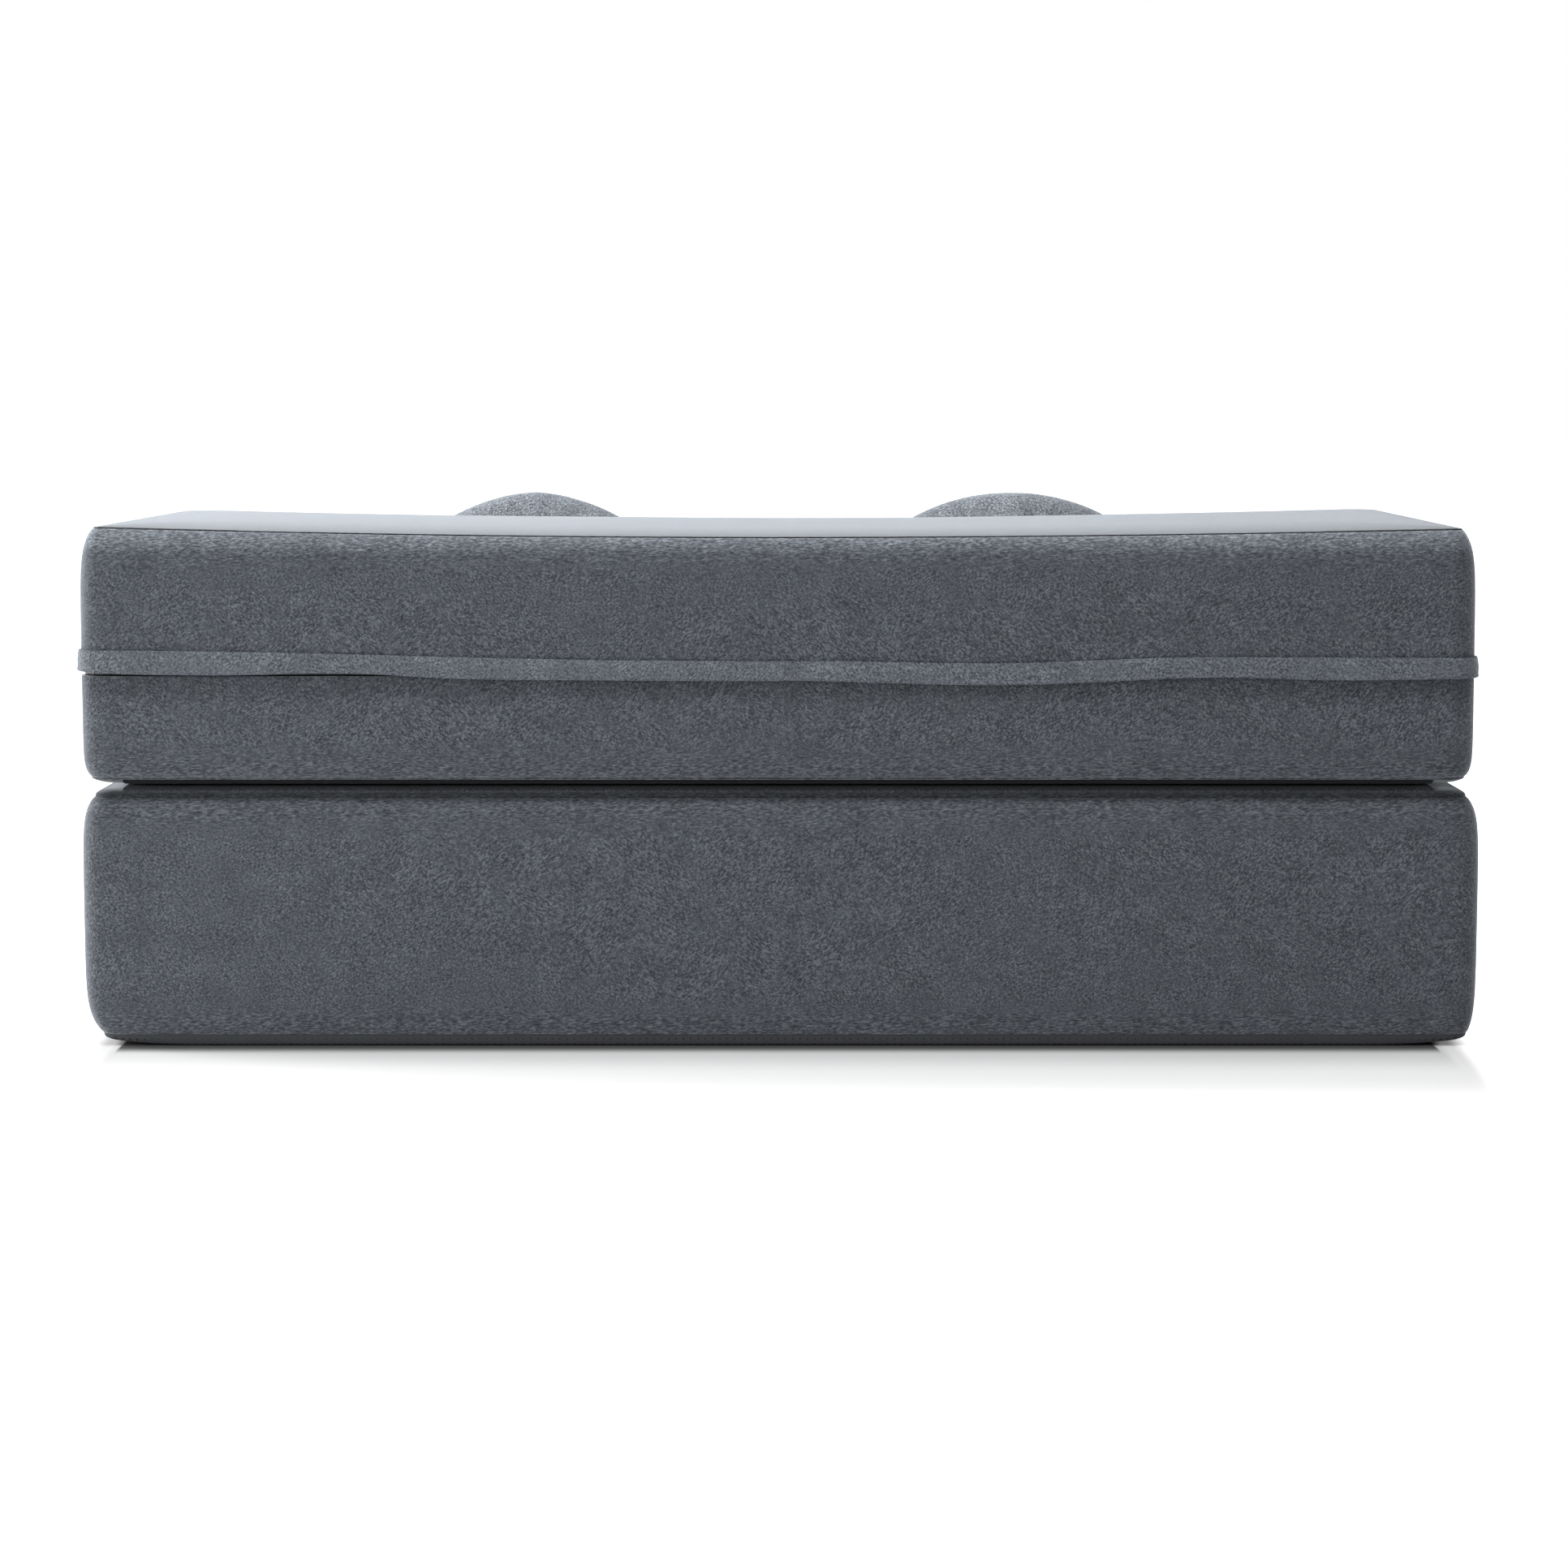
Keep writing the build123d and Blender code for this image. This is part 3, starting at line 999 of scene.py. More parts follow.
    def uneven(self, places: np.ndarray, up: np.ndarray) -> np.ndarray:
        """Adds the slight unevenness of cloth over foam, less near the seams.

        Args:
            places: One row of x, y and z for each vertex.
            up: The share of the way up the wall, from 0 to 1.

        Returns:
            The uneven places.
        """
        swell = np.sin(math.pi * np.clip(up, 0, 1)) * self.unevenness
        away = places[:, :2] - np.array(self.middle[:2])
        away = away / np.maximum(np.abs(away).max(axis=1, keepdims=True), MM)
        broad = ripple(places, self.wall_wave, self.seed)
        places = places.copy()
        places[:, :2] += away * (swell * broad)[:, None] * self.wall_share
        return places

    def spread(self, share: np.ndarray) -> np.ndarray:
        """Spaces the cells of a face from -1 to 1, closer together towards its edges."""
        return np.sign(share) * (1 - (1 - np.abs(share)) ** self.face_spacing)

    def face_shape(self, side: Side, across: np.ndarray, up: np.ndarray) -> np.ndarray:
        """Places the upper or lower face, crowned over the foam, with its edge turned in.

        Args:
            side: The upper or the lower face.
            across: The share of the way across, from 0 to 1.
            up: The share of the way up or back, from 0 to 1.

        Returns:
            One row of x, y and z for each vertex.
        """
        fold = self.upper if side is Side.UPPER else self.lower
        x_reach = self.half_width - fold.draw
        y_reach = (self.rear - self.front) / 2 - fold.draw
        radius = self.corner - fold.draw
        x = self.spread(2 * across - 1) * x_reach
        y = self.spread(2 * up - 1) * y_reach
        ax = np.clip((np.abs(x) - (x_reach - radius)) / radius, 0, 1)
        ay = np.clip((np.abs(y) - (y_reach - radius)) / radius, 0, 1)
        in_corner = (ax > 0) & (ay > 0)
        round_x = np.sign(x) * (x_reach - radius + radius * ax * np.sqrt(1 - ay ** 2 / 2))
        round_y = np.sign(y) * (y_reach - radius + radius * ay * np.sqrt(1 - ax ** 2 / 2))
        x = np.where(in_corner, round_x, x)
        y = np.where(in_corner, round_y, y)
        depth = self.edge_distance(x, y, x_reach, y_reach, radius)
        rise = (fold.crown - self.lip) * (1 - np.exp(-depth / fold.crown_reach))
        rise += self.lip * (1 - np.exp(-depth / self.lip_reach))
        if side is Side.LOWER:
            near_end = np.clip(1 - (x_reach - np.abs(x)) / self.end_rise_reach, 0, 1)
            rise *= 1 - self.end_rise * near_end ** 2
        tuck = np.clip(1 - depth / self.face_tuck, 0, 1)
        level = self.seam_level(side, x, y + self.middle[1])
        z = level + side.value * (rise - self.seam_roll * tuck * self.face_roll_share)
        shrink = 1 - tuck * self.seam_depth / np.maximum(np.hypot(x, y), MM)
        places = np.stack([x * shrink, y * shrink + self.middle[1], z], axis=1)
        if side is Side.UPPER and self.sag:
            away = 1 - np.exp(-depth / self.top_margin)
            wave = ripple(places, self.top_wave, self.seed + 1)
            places[:, 2] += wave * self.unevenness * self.top_share * away
        return self.settle(places)

    @staticmethod
    def edge_distance(
        x: np.ndarray, y: np.ndarray, half_x: float, half_y: float, radius: float
    ) -> np.ndarray:
        """The distance of each place from the rounded edge of a face.

        Args:
            x: The place across, from the middle.
            y: The place from front to rear, likewise.
            half_x: Half the face's width.
            half_y: Half its depth.
            radius: The radius of its corners.

        Returns:
            The distance inwards from the edge.
        """
        dx = np.abs(x) - (half_x - radius)
        dy = np.abs(y) - (half_y - radius)
        outside = np.hypot(np.maximum(dx, 0), np.maximum(dy, 0))
        inside = np.minimum(np.maximum(dx, dy), 0)
        return np.maximum(radius - outside - inside, 0)

    def build(self) -> list[bpy.types.Object]:
        """Builds the side band and the two faces, and dresses them.

        Returns:
            The new pieces.
        """
        round_run = 4 * self.half_width + 2 * (self.rear - self.front)
        band = cloth_grid(
            f"{self.name}_side_band_cloth", int(round_run / self.cell), self.rows, self.band_shape
        )
        close_round(band, self.merge)
        if self.has_zip:
            self.cut_slit(band)
        pieces = [(band, f"{self.name}_side_band", self.finish, "plush")]
        columns = int(2 * self.half_width / self.cell / self.face_cell_share)
        rows = int((self.rear - self.front) / self.cell / self.face_cell_share)
        for side, node, finish, slot in (
            (Side.UPPER, f"{self.name}_top_panel", self.upper_finish, "plush"),
            (Side.LOWER, f"{self.name}_bottom_panel", self.lower_finish, self.lower_slot),
        ):
            face = cloth_grid(
                f"{node}_cloth", columns, rows,
                lambda across, up, side=side: self.face_shape(side, across, up),
            )
            pieces.append((face, node, finish, slot))
        for piece, node, finish, slot in pieces:
            face_outwards(piece, self.middle)
            thicken(piece, self.cloth)
            smooth_shade(piece)
            piece.data.materials.clear()
            piece.data.materials.append(finish)
            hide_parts(node)
            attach(piece, self.body)
            log.info("%s: %d faces", piece.name, len(piece.data.polygons))
        return [piece for piece, *_ in pieces]


@dataclass
class ZipFlap:
    """The strip of plush that is sewn on above the zip and hangs over it, wavy at its hem.

    Attributes:
        line_shares, line_levels: The sewn line across the rear, in mm above the floor.
        hem_shares, hem_levels: The hem across the rear, in mm above the floor.
        end_slack: The share of the stand-off that is missing at both ends.
        spring_share, spring_power: How soon below its line the flap stands off the wall.
    """

    finish: bpy.types.Material
    cut_width: float = 28.5 * MM
    thickness: float = 2 * MM
    hem: float = 0.15
    hem_roll: float = 0.9 * MM
    lift: float = 1.0 * MM
    stand_off: float = 2.5 * MM
    end_slack: float = 0.6
    spring_share: float = 0.45
    spring_power: float = 0.8
    wave: float = 0.6 * MM
    wavelength: float = 0.12
    seed: int = 5
    corner: float = 28 * MM
    columns: int = 420
    rows: int = 14
    line_shares: tuple[float, ...] = (
        0.0, 0.04, 0.188, 0.252, 0.362, 0.417, 0.552, 0.663, 0.737, 0.785, 0.859, 1.0,
    )
    line_levels: tuple[float, ...] = (
        435.3, 435.3, 431.7, 429.1, 425.5, 424.5, 423.8, 421.8, 425.5, 428.1, 428.1, 427.4,
    )
    hem_shares: tuple[float, ...] = (
        0.0, 0.028, 0.087, 0.2, 0.271, 0.362, 0.458, 0.528, 0.599, 0.64, 0.686, 0.722, 0.785,
        0.829, 0.883, 1.0,
    )
    hem_levels: tuple[float, ...] = (
        412.5, 410.3, 408.6, 410.3, 405.0, 403.3, 402.4, 402.4, 399.4, 398.0, 398.9, 400.7,
        405.5, 406.3, 403.6, 405.0,
    )

    def __post_init__(self) -> None:
        """Takes the flap's place and the wall behind it from the frame."""
        low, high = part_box("back_zip_flap")
        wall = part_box("back_side_band")[1]
        self.low, self.high, self.start = low.z, high.z, low.y
        self.half, self.rear = wall.x, wall.y
        arc = self.corner * math.pi / 2
        self.leg_end = self.rear - self.corner - self.start
        leg_rear = 2 * (self.half - self.corner)
        self.legs = np.cumsum([0, self.leg_end, arc, leg_rear, arc, self.leg_end])

    def shape(self, across: np.ndarray, up: np.ndarray) -> np.ndarray:
        """Places the flap, from the left end round the rear to the right end.

        Args:
            across: The share of the way along the flap, from 0 to 1.
            up: The share of the way down from its line to its hem.

        Returns:
            One row of x, y and z for each vertex.
        """
        run = across * self.legs[-1]
        leg = np.clip(np.searchsorted(self.legs, run, side="right") - 1, 0, 4)
        t = run - self.legs[leg]
        corner, quarter = self.corner, math.pi / 2
        turn = np.select(
            [leg == 0, leg == 1, leg == 2, leg == 3],
            [0 * t, t / corner, quarter + 0 * t, quarter + t / corner], math.pi,
        )
        nx, ny = np.cos(turn), np.sin(turn)
        past_x, past_y = self.half - corner, self.rear - corner
        x = np.select([leg < 2, leg == 2], [past_x + corner * nx, past_x - t], corner * nx - past_x)
        y = np.select([leg == 0, leg == 4], [self.start + t, past_y - t], past_y + corner * ny)
        share = np.clip((self.half - x) / (2 * self.half), 0, 1)
        line = curve_through(self.line_shares, self.line_levels, share) * MM
        hem = curve_through(self.hem_shares, self.hem_levels, share) * MM
        from_end = np.select([leg == 0, leg == 4], [t / self.leg_end, 1 - t / self.leg_end], 1.0)
        settled = from_end ** 2 * (3 - 2 * from_end)
        line = self.high + (line - self.high) * settled
        hem = self.low + (hem - self.low) * settled
        z = line + (hem - line) * up
        stand_off = self.stand_off * (1 - self.end_slack * np.abs(nx))
        spring = np.clip(up / self.spring_share, 0, 1) ** self.spring_power
        wave = ripple(np.stack([x, y, z], axis=1), self.wavelength, self.seed)
        roll = np.clip((up - 1 + self.hem) / self.hem, 0, 1)
        out = self.lift + self.thickness + stand_off * spring
        out = out + self.wave * np.sin(math.pi * up) * wave
        out = out + self.hem_roll * np.sin(math.pi * roll) ** 0.5
        return np.stack([x + nx * out, y + ny * out, z], axis=1)

    def build(self) -> bpy.types.Object:
        """Builds the flap round the rear and both ends.

        Returns:
            The new piece.
        """
        piece = cloth_grid("zip_flap_cloth", self.columns, self.rows, self.shape)
        face_outwards(piece, (0, 0, (self.low + self.high) / 2))
        thicken(piece, self.thickness)
        smooth_shade(piece)
        piece.data.materials.clear()
        piece.data.materials.append(self.finish)
        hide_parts("back_zip_flap")
        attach(piece, "back")
        log.info("%s: %d faces", piece.name, len(piece.data.polygons))
        return piece


@dataclass
class HingeStrip:
    """The strip of plush that joins the rear seams and lies folded deep in the notch.

    Attributes:
        depths, levels: Its folded path in mm, inwards from the wall and up from the floor.
        spare_end: How far it reaches past its solid at each end, like the seams.
        kept, open_depth: Not used. They would give the share of its fold that is left when the bed
        is opened, and the depth behind the wall that it would fold flat to.
    """

    finish: bpy.types.Material
    cloth: float = 1.2 * MM
    wave: float = 1.0 * MM
    wavelength: float = 0.15
    seed: int = 31
    columns: int = 170
    rows: int = 30
    kept: float = 0.12
    open_depth: float = 15.5 * MM
    spare_end: float = 26 * MM
    behind: float = 0.5
    depths: tuple[float, ...] = (8.5, 10.0, 15.0, 25.0, 43.0, 53.0, 43.0, 25.0, 15.0, 10.0)
    levels: tuple[float, ...] = (
        273.8, 279.2, 283.6, 284.3, 284.5, 285.1, 285.9, 287.6, 290.6, 293.6,
    )

    def build(self) -> bpy.types.Object:
        """Builds the strip with its fold turned in between the two sections.

        Returns:
            The new piece.
        """
        low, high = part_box("hinge_strip")
        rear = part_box("back_side_band")[1].y
        ys = rear - np.array(self.depths) * MM
        zs = np.array(self.levels) * MM
        steps = np.hypot(np.diff(ys), np.diff(zs))
        run = float(steps.sum())
        shares = np.concatenate([[0], np.cumsum(steps)]) / run

        def shape(across: np.ndarray, up: np.ndarray) -> np.ndarray:
            """Places the strip along its folded path.

            Args:
                across: The share of the way along the strip, from 0 to 1.
                up: The share of the way along its folded path.

            Returns:
                One row of x, y and z for each vertex.
            """
            x = (low.x - self.spare_end) * (1 - across) + (high.x + self.spare_end) * across
            y = np.interp(up, shares, ys)
            z = np.interp(up, shares, zs)
            places = np.stack([x, y, z], axis=1)
            fold = np.sin(math.pi * up) ** 2
            along = places * np.array([1, 0, 0])
            places[:, 1] += ripple(along, self.wavelength, self.seed) * self.wave * fold
            return places

        piece = cloth_grid("hinge_strip_cloth", self.columns, self.rows, shape)
        face_outwards(piece, (0, low.y - self.behind, float(zs.mean())))
        thicken(piece, self.cloth)
        smooth_shade(piece)
        piece.data.materials.clear()
        piece.data.materials.append(self.finish)
        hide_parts("hinge_strip")
        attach(piece, "hinge")
        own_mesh(piece)
        log.info("%s: %d faces", piece.name, len(piece.data.polygons))
        return piece


@dataclass
class Pillow:
    """A loose pillow, sewn from two oval panels, plump with fibre and puckered at its seam.

    Attributes:
        roundness: 2 for a round outline, less for one that is drawn out at its four ends.
        rim_shape: How flat its middle is, and how steeply its rim falls.
        gathers, gather_depth: How many puckers there are round the seam, and how deep.
        gather_start, gather_reach, gather_end: Where they begin, are full and run out, as
            shares of the way to the seam.
        start_share, start_noise: What the cloth starts from before the fibre presses it out.
    """

    side: str
    seed: int
    finish: bpy.types.Material
    roundness: float = 2.0
    smoothing: int = 2
    smooth_factor: float = 0.5
    smooth_angle: float = 180.0
    columns: int = 84
    rows: int = 70
    merge: float = 0.1 * MM
    half_thickness: float = 52 * MM
    rim_shape: tuple[float, float] = (2.4, 0.62)
    lean: float = 12.0
    gathers: int = 30
    gather_depth: float = 2.6 * MM
    gather_start: float = 0.62
    gather_reach: float = 0.35
    gather_end: float = 0.06
    gather_bend: tuple[float, int] = (2, 3)
    gather_swell: tuple[float, float, int] = (0.55, 0.45, 5)
    start_share: float = 0.96
    start_noise: float = 0.3 * MM
    quality: int = 7
    mass: float = 0.25
    stretch: float = 40
    shear: float = 10
    bend: float = 1.5
    pressure: float = 4.0
    most_moved: float = 9 * MM
    frames: int = 20

    def __post_init__(self) -> None:
        """Takes the pillow's place from the frame."""
        low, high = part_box(f"pillow_{self.side}_cover")
        self.centre = np.array([(a + b) / 2 for a, b in zip(low, high)])
        self.half = np.array([(b - a) / 2 for a, b in zip(low, high)])

    def panel(self, across: np.ndarray, up: np.ndarray, out: float) -> np.ndarray:
        """Places one panel of the pillow, cut to its oval outline and domed over the fibre.

        Args:
            across: The share of the way across, from 0 to 1.
            up: The share of the way up or back, from 0 to 1.
            out: The side that the panel bulges to, -1 for the front or 1 for the rear.

        Returns:
            One row of x, y and z for each vertex.
        """
        u, v = 2 * across - 1, 2 * up - 1
        x, z = u * np.sqrt(1 - v ** 2 / 2), v * np.sqrt(1 - u ** 2 / 2)
        reach = np.hypot(x, z)
        turn = np.arctan2(z, x)
        power = self.roundness
        edge = (np.abs(np.cos(turn)) ** power + np.abs(np.sin(turn)) ** power) ** (-1 / power)
        fall, root = self.rim_shape
        dome = np.clip(1 - reach ** fall, 0, 1) ** root
        bend, bends = self.gather_bend
        least, swell, swells = self.gather_swell
        wander = bend * np.sin(bends * turn + self.seed)
        gather = np.sin(turn * self.gathers + self.seed + wander)
        gather *= least + swell * np.sin(swells * turn + 2 * self.seed)
        begun = np.clip((reach - self.gather_start) / self.gather_reach, 0, 1)
        fan = begun * np.clip((1 - reach) / self.gather_end, 0, 1)
        y = out * (self.half_thickness * dome + self.gather_depth * gather * fan)
        width, _, height = self.half
        return np.stack(
            [width * reach * edge * np.cos(turn), y, height * reach * edge * np.sin(turn)], axis=1
        )

    def build(self) -> bpy.types.Object:
        """Builds the pillow in the space of its solid.

        Returns:
            The new piece.
        """
        name = f"pillow_{self.side}_plush"
        piece = cloth_grid(name, self.columns, self.rows, lambda a, u: self.panel(a, u, -1))
        rear = cloth_grid(f"{name}_rear", self.columns, self.rows, lambda a, u: self.panel(a, u, 1))
        activate(piece)
        rear.select_set(True)
        bpy.ops.object.join()
        close_round(piece, self.merge)
        activate(piece)
        bpy.ops.object.mode_set(mode="EDIT")
        bpy.ops.mesh.select_all(action="SELECT")
        bpy.ops.mesh.normals_make_consistent(inside=False)
        bpy.ops.object.mode_set(mode="OBJECT")
        self.inflate(piece, vertices_of(piece))
        self.stand(piece)
        activate(piece)
        bpy.ops.object.modifier_add(type="SMOOTH")
        piece.modifiers[-1].factor = self.smooth_factor
        piece.modifiers[-1].iterations = self.smoothing
        bpy.ops.object.modifier_add(type="SUBSURF")
        piece.modifiers[-1].levels = 1
        piece.modifiers[-1].render_levels = 1
        apply_modifiers(piece)
        smooth_shade(piece, self.smooth_angle)
        piece.data.materials.clear()
        piece.data.materials.append(self.finish)
        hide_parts(f"pillow_{self.side}_cover", f"pillow_{self.side}_filling")
        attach(piece, f"pillow_{self.side}")
        log.info("%s: %d faces", piece.name, len(piece.data.polygons))
        return piece

    def stand(self, piece: bpy.types.Object) -> None:
        """Leans the pillow back and fits it to the space of its solid.

        Args:
            piece: The pillow.
        """
        places = vertices_of(piece)
        turn = math.radians(self.lean)
        y = places[:, 1] * math.cos(turn) + places[:, 2] * math.sin(turn)
        z = places[:, 2] * math.cos(turn) - places[:, 1] * math.sin(turn)
        places = np.stack([places[:, 0], y, z], axis=1)
        low, high = places.min(axis=0), places.max(axis=0)
        share = 2 * self.half / (high - low)
        place_vertices(piece, self.centre + (places - (low + high) / 2) * share)

    def inflate(self, piece: bpy.types.Object, start: np.ndarray) -> None:
        """Lets the fibre press the two panels out, each place by no more than a set distance.

        Args:
            piece: The pillow.
            start: Where its vertices are.
        """
        random = np.random.default_rng(self.seed)
        noise = random.normal(size=start.shape) * self.start_noise
        place_vertices(piece, start * self.start_share + noise)
        activate(piece)
        bpy.ops.object.modifier_add(type="CLOTH")
        cloth = piece.modifiers[-1]
        settings = cloth.settings
        settings.quality = self.quality
        settings.mass = self.mass
        settings.tension_stiffness = self.stretch
        settings.compression_stiffness = self.stretch
        settings.shear_stiffness = self.shear
        settings.bending_stiffness = self.bend
        settings.use_pressure = True
        settings.uniform_pressure_force = self.pressure
        settings.effector_weights.gravity = 0
        cloth.point_cache.frame_start = 1
        cloth.point_cache.frame_end = self.frames
        for number in range(1, self.frames + 1):
            bpy.context.scene.frame_set(number)
        apply_modifiers(piece)
        bpy.context.scene.frame_set(1)
        moved = vertices_of(piece) - start
        far = np.linalg.norm(moved, axis=1, keepdims=True)
        place_vertices(piece, start + moved * np.minimum(1, self.most_moved / np.maximum(far, MM)))


# Stage


@dataclass(frozen=True)
class Lamp:
    """A soft lamp: where it hangs, where it looks, its size, and its power in watts."""

    name: str
    place: tuple[float, float, float]
    aim: tuple[float, float, float]
    width: float
    height: float
    power: float

    def build(self) -> None:
        """Adds the lamp."""
        deselect()
        bpy.ops.object.light_add(type="AREA", location=self.place)
        lamp = bpy.context.object
        lamp.name = self.name
        lamp.data.shape = "RECTANGLE"
        lamp.data.size, lamp.data.size_y = self.width, self.height
        lamp.data.energy = self.power
        x, y, z = np.array(self.aim) - np.array(self.place)
        lamp.rotation_euler = (
            math.atan2(math.hypot(x, y), -z), 0, math.atan2(y, x) - math.pi / 2
        )


@dataclass
class Studio:
    """The camera at the photograph's angle, a white floor and soft lamps.

    Attributes:
        painted_contact_shadow_colour, painted_contact_shadow_reach: The colour of a painted contact
        shadow on the floor where the sofa stands, seen only by the camera, and from where to where
        it turns into the plain one.
        glow_rises: Start, end and height of each rise of a painted white glow on the floor, seen
        only by the camera, which grows away from the sofa and so shapes how its shadow fades.
        end_rate: How much faster the floor turns white past the two ends, through its painted
        glow and painted contact shadow.
        foot: How far the sofa's foot stands inside its widest line at each end.
    """

    lens: float = 86.0
    sensor: float = 36.0
    camera: tuple[float, float, float] = (-0.0066, 4.708, 0.70)
    pitch: float = 5.77
    world_strength: float = 0.24
    floor_size: float = 60.0
    floor_colour: str = "e6e6e6"
    painted_contact_shadow_colour: str = "5c5c5c"
    painted_contact_shadow_reach: tuple[float, float] = (0.0, 0.045)
    glow_rises: tuple[tuple[float, float, float], ...] = ((0.03, 0.16, 0.15), (0.2, 0.6, 0.95))
    end_rate: float = 12.0
    foot: float = 45 * MM
    lamps: tuple[Lamp, ...] = (
        Lamp("sky_lamp", (0.1, 0.35, 3.0), (0.1, 0.35, 0.0), 3.2, 1.7, 92),
        Lamp("right_lamp", (-3.2, -0.6, 0.9), (-0.7, 0.3, 0.3), 1.0, 1.4, 10),
        Lamp("left_lamp", (3.6, 2.8, 1.6), (0.0, 0.4, 0.25), 2.0, 2.0, 62),
        Lamp("side_lamp", (3.2, -0.4, 1.0), (0.7, 0.3, 0.3), 1.2, 1.6, 75),
    )

    def build(self) -> None:
        """Sets the camera, the floor, the lamps and the surroundings."""
        scene = bpy.context.scene
        scene.view_settings.view_transform = "Standard"
        deselect()
        bpy.ops.object.camera_add(
            location=self.camera, rotation=(math.radians(90 - self.pitch), 0, math.pi)
        )
        camera = bpy.context.object
        camera.data.lens = self.lens
        camera.data.sensor_width = self.sensor
        scene.camera = camera
        self.floor()
        for lamp in self.lamps:
            lamp.build()
        self.surroundings()

    def floor(self) -> None:
        """Adds the floor, which the camera sees as white apart from the shadow on it, which is
        partly real and partly painted.
        """
        deselect()
        bpy.ops.mesh.primitive_plane_add(size=self.floor_size)
        floor = bpy.context.object
        floor.name = "studio_floor"
        floor.data.materials.append(self.floor_material())

    def away_from_sofa(self, tree: bpy.types.NodeTree) -> bpy.types.NodeSocket:
        """Measures how far a place on the floor is from the sofa.

        Args:
            tree: The floor's node tree.

        Returns:
            The distance in metres, longer by end_rate past the ends.
        """
        place = add_node(tree, "ShaderNodeTexCoord").outputs["Object"]
        corner = cad_box[1]
        reach = [corner[0] - self.foot, corner[1], 1.0]
        side = add_node(tree, "ShaderNodeVectorMath", {"operation": "ABSOLUTE"}, {0: place})
        past = add_node(tree, "ShaderNodeVectorMath", {"operation": "SUBTRACT"}, {
            0: side.outputs["Vector"], 1: reach,
        })
        only = add_node(tree, "ShaderNodeVectorMath", {"operation": "MAXIMUM"}, {
            0: past.outputs["Vector"], 1: (0, 0, 0),
        })
        scaled = add_node(tree, "ShaderNodeVectorMath", {"operation": "MULTIPLY"}, {
            0: only.outputs["Vector"], 1: (self.end_rate, 1, 1),
        })
        away = add_node(tree, "ShaderNodeVectorMath", {"operation": "LENGTH"}, {
            0: scaled.outputs["Vector"],
        })
        return away.outputs["Value"]

    def rise(
        self, tree: bpy.types.NodeTree, away: bpy.types.NodeSocket, start: float, end: float,
        height: float = 1.0,
    ) -> bpy.types.NodeSocket:
        """Gives a value that rises softly from 0 to a height between two distances.

        Args:
            tree: The floor's node tree.
            away: The distance from the sofa.
            start: Where it starts to rise.
            end: Where it is full.
            height: The full value.

        Returns:
            The value here.
        """
        node = add_node(tree, "ShaderNodeMapRange", {"interpolation_type": "SMOOTHSTEP"}, {
            "Value": away, "From Min": start, "From Max": end, "To Max": height,
        })
        return node.outputs["Result"]

    def floor_material(self) -> bpy.types.Material:
        """Builds white studio paper with a painted contact shadow where the sofa touches it and a
        painted white glow away from it, both seen only by the camera.

        Returns:
            The floor's material.
        """
        material = bpy.data.materials.new("white_floor")
        material.use_nodes = True
        tree = material.node_tree
        tree.nodes.clear()
        rays = add_node(tree, "ShaderNodeLightPath")
        away = self.away_from_sofa(tree)
        bounced = add_node(tree, "ShaderNodeMath", {"operation": "SUBTRACT"}, {
            0: 1.0, 1: rays.outputs["Is Camera Ray"],
        })
        # A painted contact shadow, seen only by the camera, where the sofa stands.
        paper_share = add_node(tree, "ShaderNodeMath", {"operation": "MAXIMUM"}, {
            0: self.rise(tree, away, *self.painted_contact_shadow_reach), 1: bounced.outputs["Value"],
        })
        colour = add_node(tree, "ShaderNodeMix", {"data_type": "RGBA"}, {
            "Factor": paper_share.outputs["Value"],
            "A": srgb(self.painted_contact_shadow_colour), "B": srgb(self.floor_colour),
        })
        paper = add_node(tree, "ShaderNodeBsdfDiffuse", inputs={"Color": colour.outputs["Result"]})
        # Painted white glow, seen only by the camera: weak near the sofa and full farther off, so
        # it shapes how the shadow fades.
        near, far = (self.rise(tree, away, *rise) for rise in self.glow_rises)
        level = add_node(tree, "ShaderNodeMath", {"operation": "ADD"}, {0: near, 1: far})
        glow = add_node(tree, "ShaderNodeMath", {"operation": "MULTIPLY"}, {
            0: rays.outputs["Is Camera Ray"], 1: level.outputs["Value"],
        })
        shine = add_node(tree, "ShaderNodeEmission", inputs={"Strength": glow.outputs["Value"]})
        both = add_node(tree, "ShaderNodeAddShader", inputs={
            0: paper.outputs["BSDF"], 1: shine.outputs["Emission"],
        })
        add_node(tree, "ShaderNodeOutputMaterial", inputs={"Surface": both.outputs["Shader"]})
        return material

    def surroundings(self) -> None:
        """Fills the world with a weak even light, seen by the camera and in metal as white."""
        world = bpy.data.worlds.new("studio_world")
        bpy.context.scene.world = world
        world.use_nodes = True
        tree = world.node_tree
        tree.nodes.clear()
        rays = add_node(tree, "ShaderNodeLightPath")
        seen = add_node(tree, "ShaderNodeMath", {"operation": "MAXIMUM"}, {
            0: rays.outputs["Is Camera Ray"], 1: rays.outputs["Is Glossy Ray"],
        })
        level = add_node(tree, "ShaderNodeMapRange", inputs={
            "Value": seen.outputs["Value"], "To Min": self.world_strength, "To Max": 1.0,
        })
        light = add_node(tree, "ShaderNodeBackground", inputs={
            "Color": (1, 1, 1, 1), "Strength": level.outputs["Result"],
        })
        add_node(tree, "ShaderNodeOutputWorld", inputs={"Surface": light.outputs["Background"]})


def dress_nodes(finishes: dict[str, bpy.types.Material]) -> None:
    """Gives each piece of the frame the finish of its slot.

    Args:
        finishes: The material of each slot.
    """
    slots = {row["node"]: row["material_slot"] for row in frame["record"]["subparts"]}
    for name, node in frame["nodes"].items():
        node.data.materials.clear()
        node.data.materials.append(finishes[slots[name]])


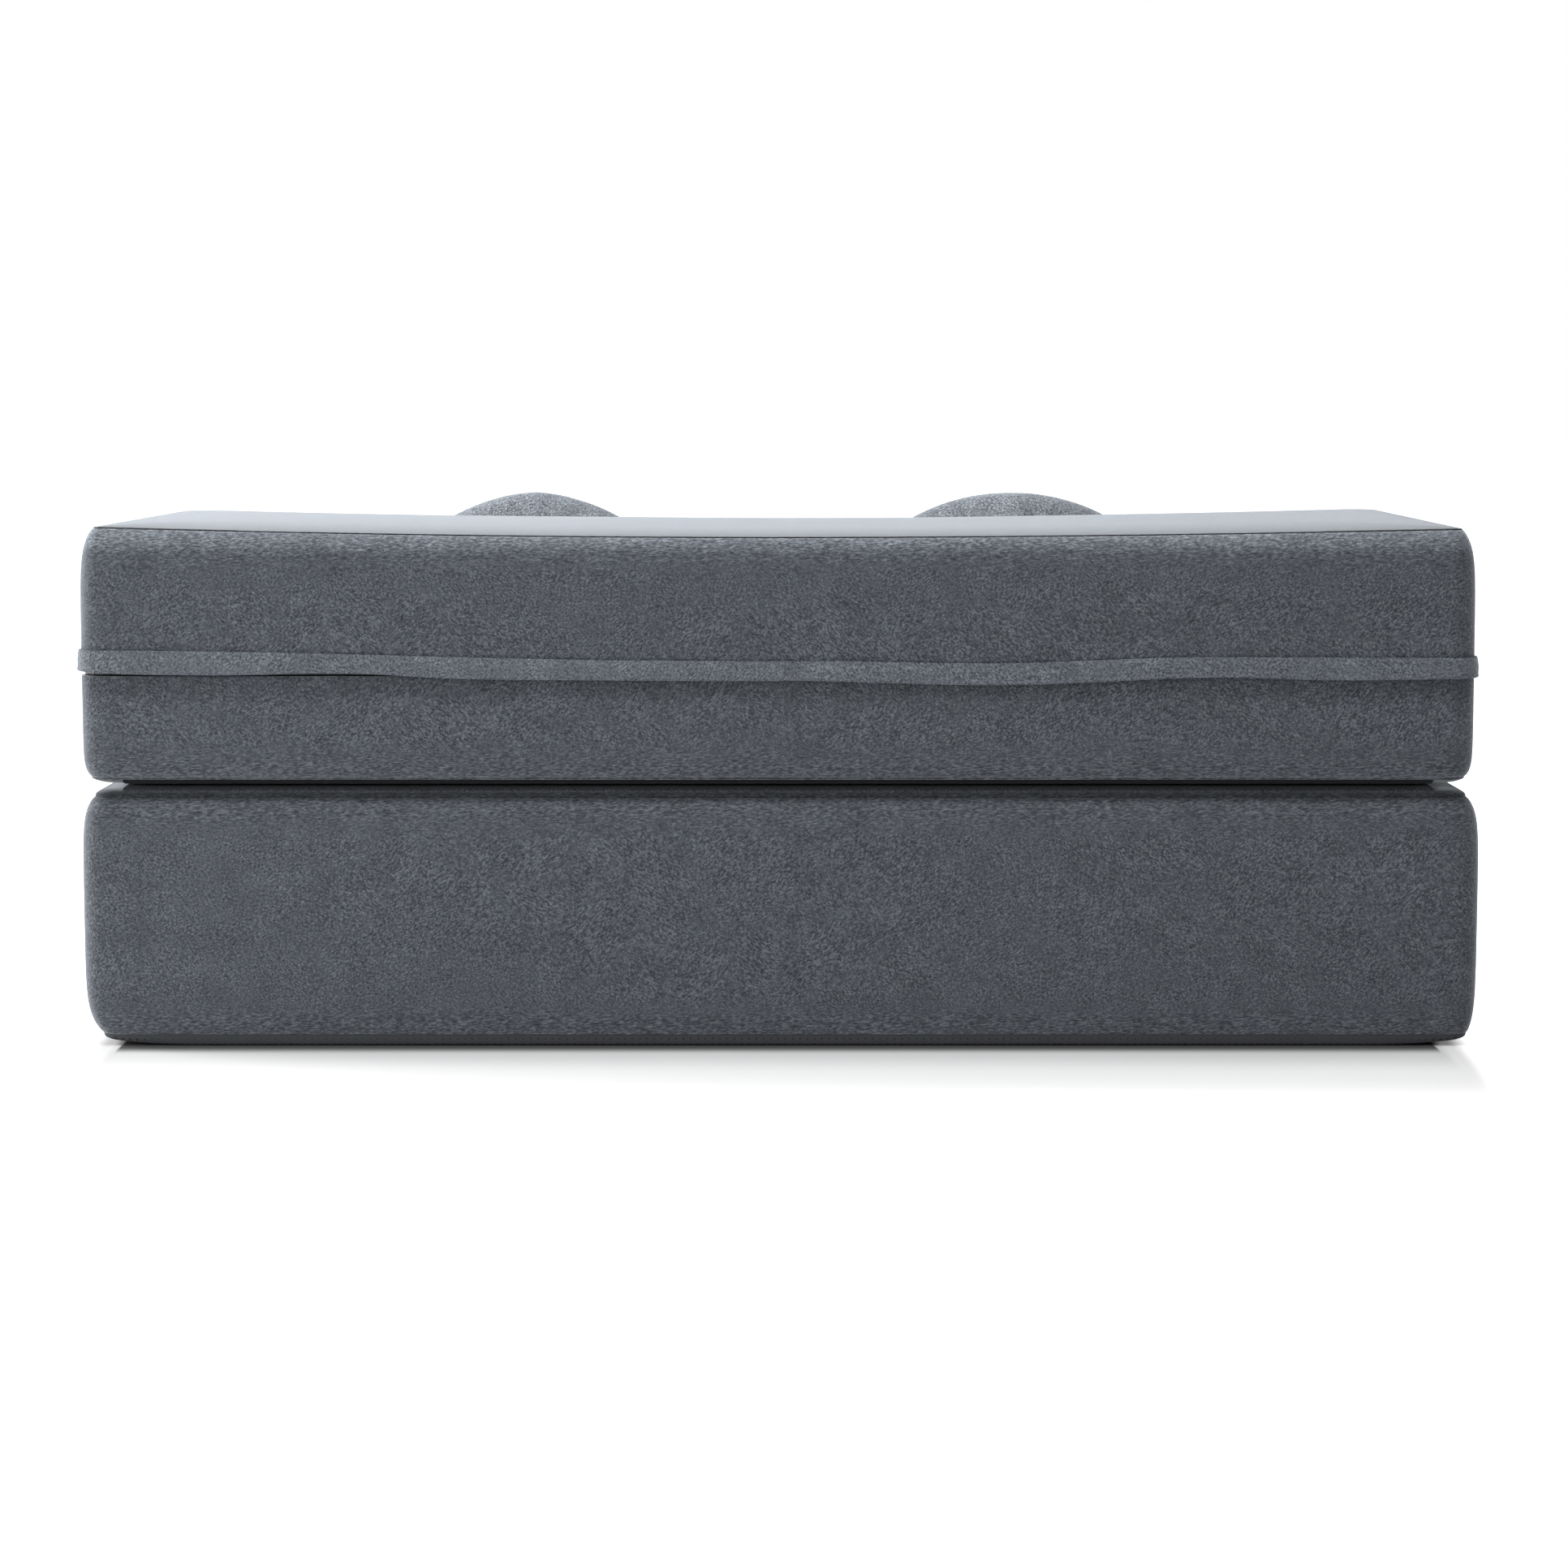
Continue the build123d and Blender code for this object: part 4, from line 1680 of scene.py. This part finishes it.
def plain_finishes() -> dict[str, bpy.types.Material]:
    """Makes the finishes of the pieces that keep their solids.

    Returns:
        The material of each slot, but for the plush and the grip fabric.
    """
    grounds = {
        # Thin white polyester knit: soft, matt, with fine loops.
        "liner_fabric": SoftGround("knitted_liner", "e4e4e1", "cfcfcb", 1.6 * MM, 0.3 * MM),
        # Cream polyurethane foam, sawn: open cells that break up its tone.
        "support_foam": SoftGround("cut_support_foam", "ece5cf", "d9d0b4", 2.4 * MM, 0.5 * MM),
        # Pale blue soft foam, sawn: finer and closer cells.
        "comfort_foam": SoftGround("cut_comfort_foam", "c9dbea", "b2c6d8", 2.0 * MM, 0.4 * MM),
        # Loose white polyester fibre: tangled, with deep soft hollows.
        "pillow_fibre": SoftGround("polyester_fibre", "f1f1ef", "dededb", 6.0 * MM, 2.0 * MM),
        # Woven polyester tape, dyed dark: a fine, shallow weave.
        "zip_tape": SoftGround("woven_zip_tape", "33363b", "212327", 0.9 * MM, 0.2 * MM),
    }
    finishes = {slot: ground.material() for slot, ground in grounds.items()}
    finishes["zip_coil"] = CoilRow().material()
    finishes["zip_metal"] = PlatedZinc().material()
    return finishes


def main() -> None:
    """Builds the studio and every piece in order."""
    logging.basicConfig(level=logging.INFO, format="%(message)s")
    Studio().build()
    seams = tuple(
        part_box(f"{name}_side_band")[end].z for name in ("base", "back") for end in (0, 1)
    )
    # The walls' plush, with painted shade in the notch between the sections and under the flap's
    # hem, and a painted highlight along the roll of the top edge.
    plush = Plush(seam_levels=seams, shades=(
        Shade(0.2815, 6 * MM, 16 * MM, -0.7), Shade(0.3980, 6 * MM, 22 * MM, -0.2),
        Shade(0.5600, 4 * MM, 24 * MM, 0.66),
    )).material()
    # The top face's plush, with painted shade that darkens it towards the rear seam.
    top_plush = Plush(
        "top_plush", seam_levels=seams, shades=(Shade(0.5650, 40 * MM, 60 * MM, -0.7),),
        shade_from=0.45, shade_full=0.645,
    ).material()
    # The flap's plush, cut across the pile; its lighter colour is a painted highlight for the light
    # that this pile catches.
    flap_plush = Plush("flap_plush", body="696e75", hollow="43474c", raised="90959c").material()
    # The pillows' plush, coloured lighter than the walls' plush as a painted highlight for the top
    # light that the pillows catch.
    pillow_plush = Plush(
        "pillow_plush", body="7c8188", hollow="4c5056", raised="aeb3ba"
    ).material()
    # The strip's plush: its darker colour, low sheen and added shade, darkest at its top, are
    # painted shade for the deep shadow in the notch.
    strip_plush = Plush(
        "strip_plush", body="505358", hollow="3a3c40", raised="666a70", sheen=0.1,
        shades=(Shade(0.2945, 4 * MM, 17 * MM, -0.9),),
    ).material()
    grip = GripFabric().material()
    dress_nodes({"plush": plush, "grip_fabric": grip, **plain_finishes()})
    Section(
        "base", "base", 11,
        lower=Fold(4 * MM, 18 * MM, 12.8 * MM, 2 * MM),
        upper=Fold(5 * MM, 14 * MM, 9.5 * MM, 6 * MM),
        lower_finish=grip, finish=plush, upper_finish=plush, lower_slot="grip_fabric",
        proud=7 * MM, shift=-2.7 * MM, skew=5 * MM, squeeze=9 * MM, top_squeeze=8 * MM,
        lift=4.5 * MM, end_rise=0.6,
    ).build()
    Section(
        "back", "back", 23,
        lower=Fold(7 * MM, 8 * MM, 10 * MM, 16 * MM),
        upper=Fold(16 * MM, 17 * MM, 7.5 * MM, 55 * MM),
        lower_finish=plush, finish=plush, upper_finish=top_plush, has_zip=True,
        sag=10.5 * MM, lift=12 * MM, low_lift=-1.2 * MM, twist=2 * MM, top_squeeze=-2.5 * MM,
    ).build()
    HingeStrip(strip_plush).build()
    ZipFlap(flap_plush).build()
    Pillow("left", 3, pillow_plush, roundness=1.75, smoothing=1).build()
    Pillow("right", 8, pillow_plush, roundness=2.0, smoothing=3).build()


if __name__ == "__main__":
    main()
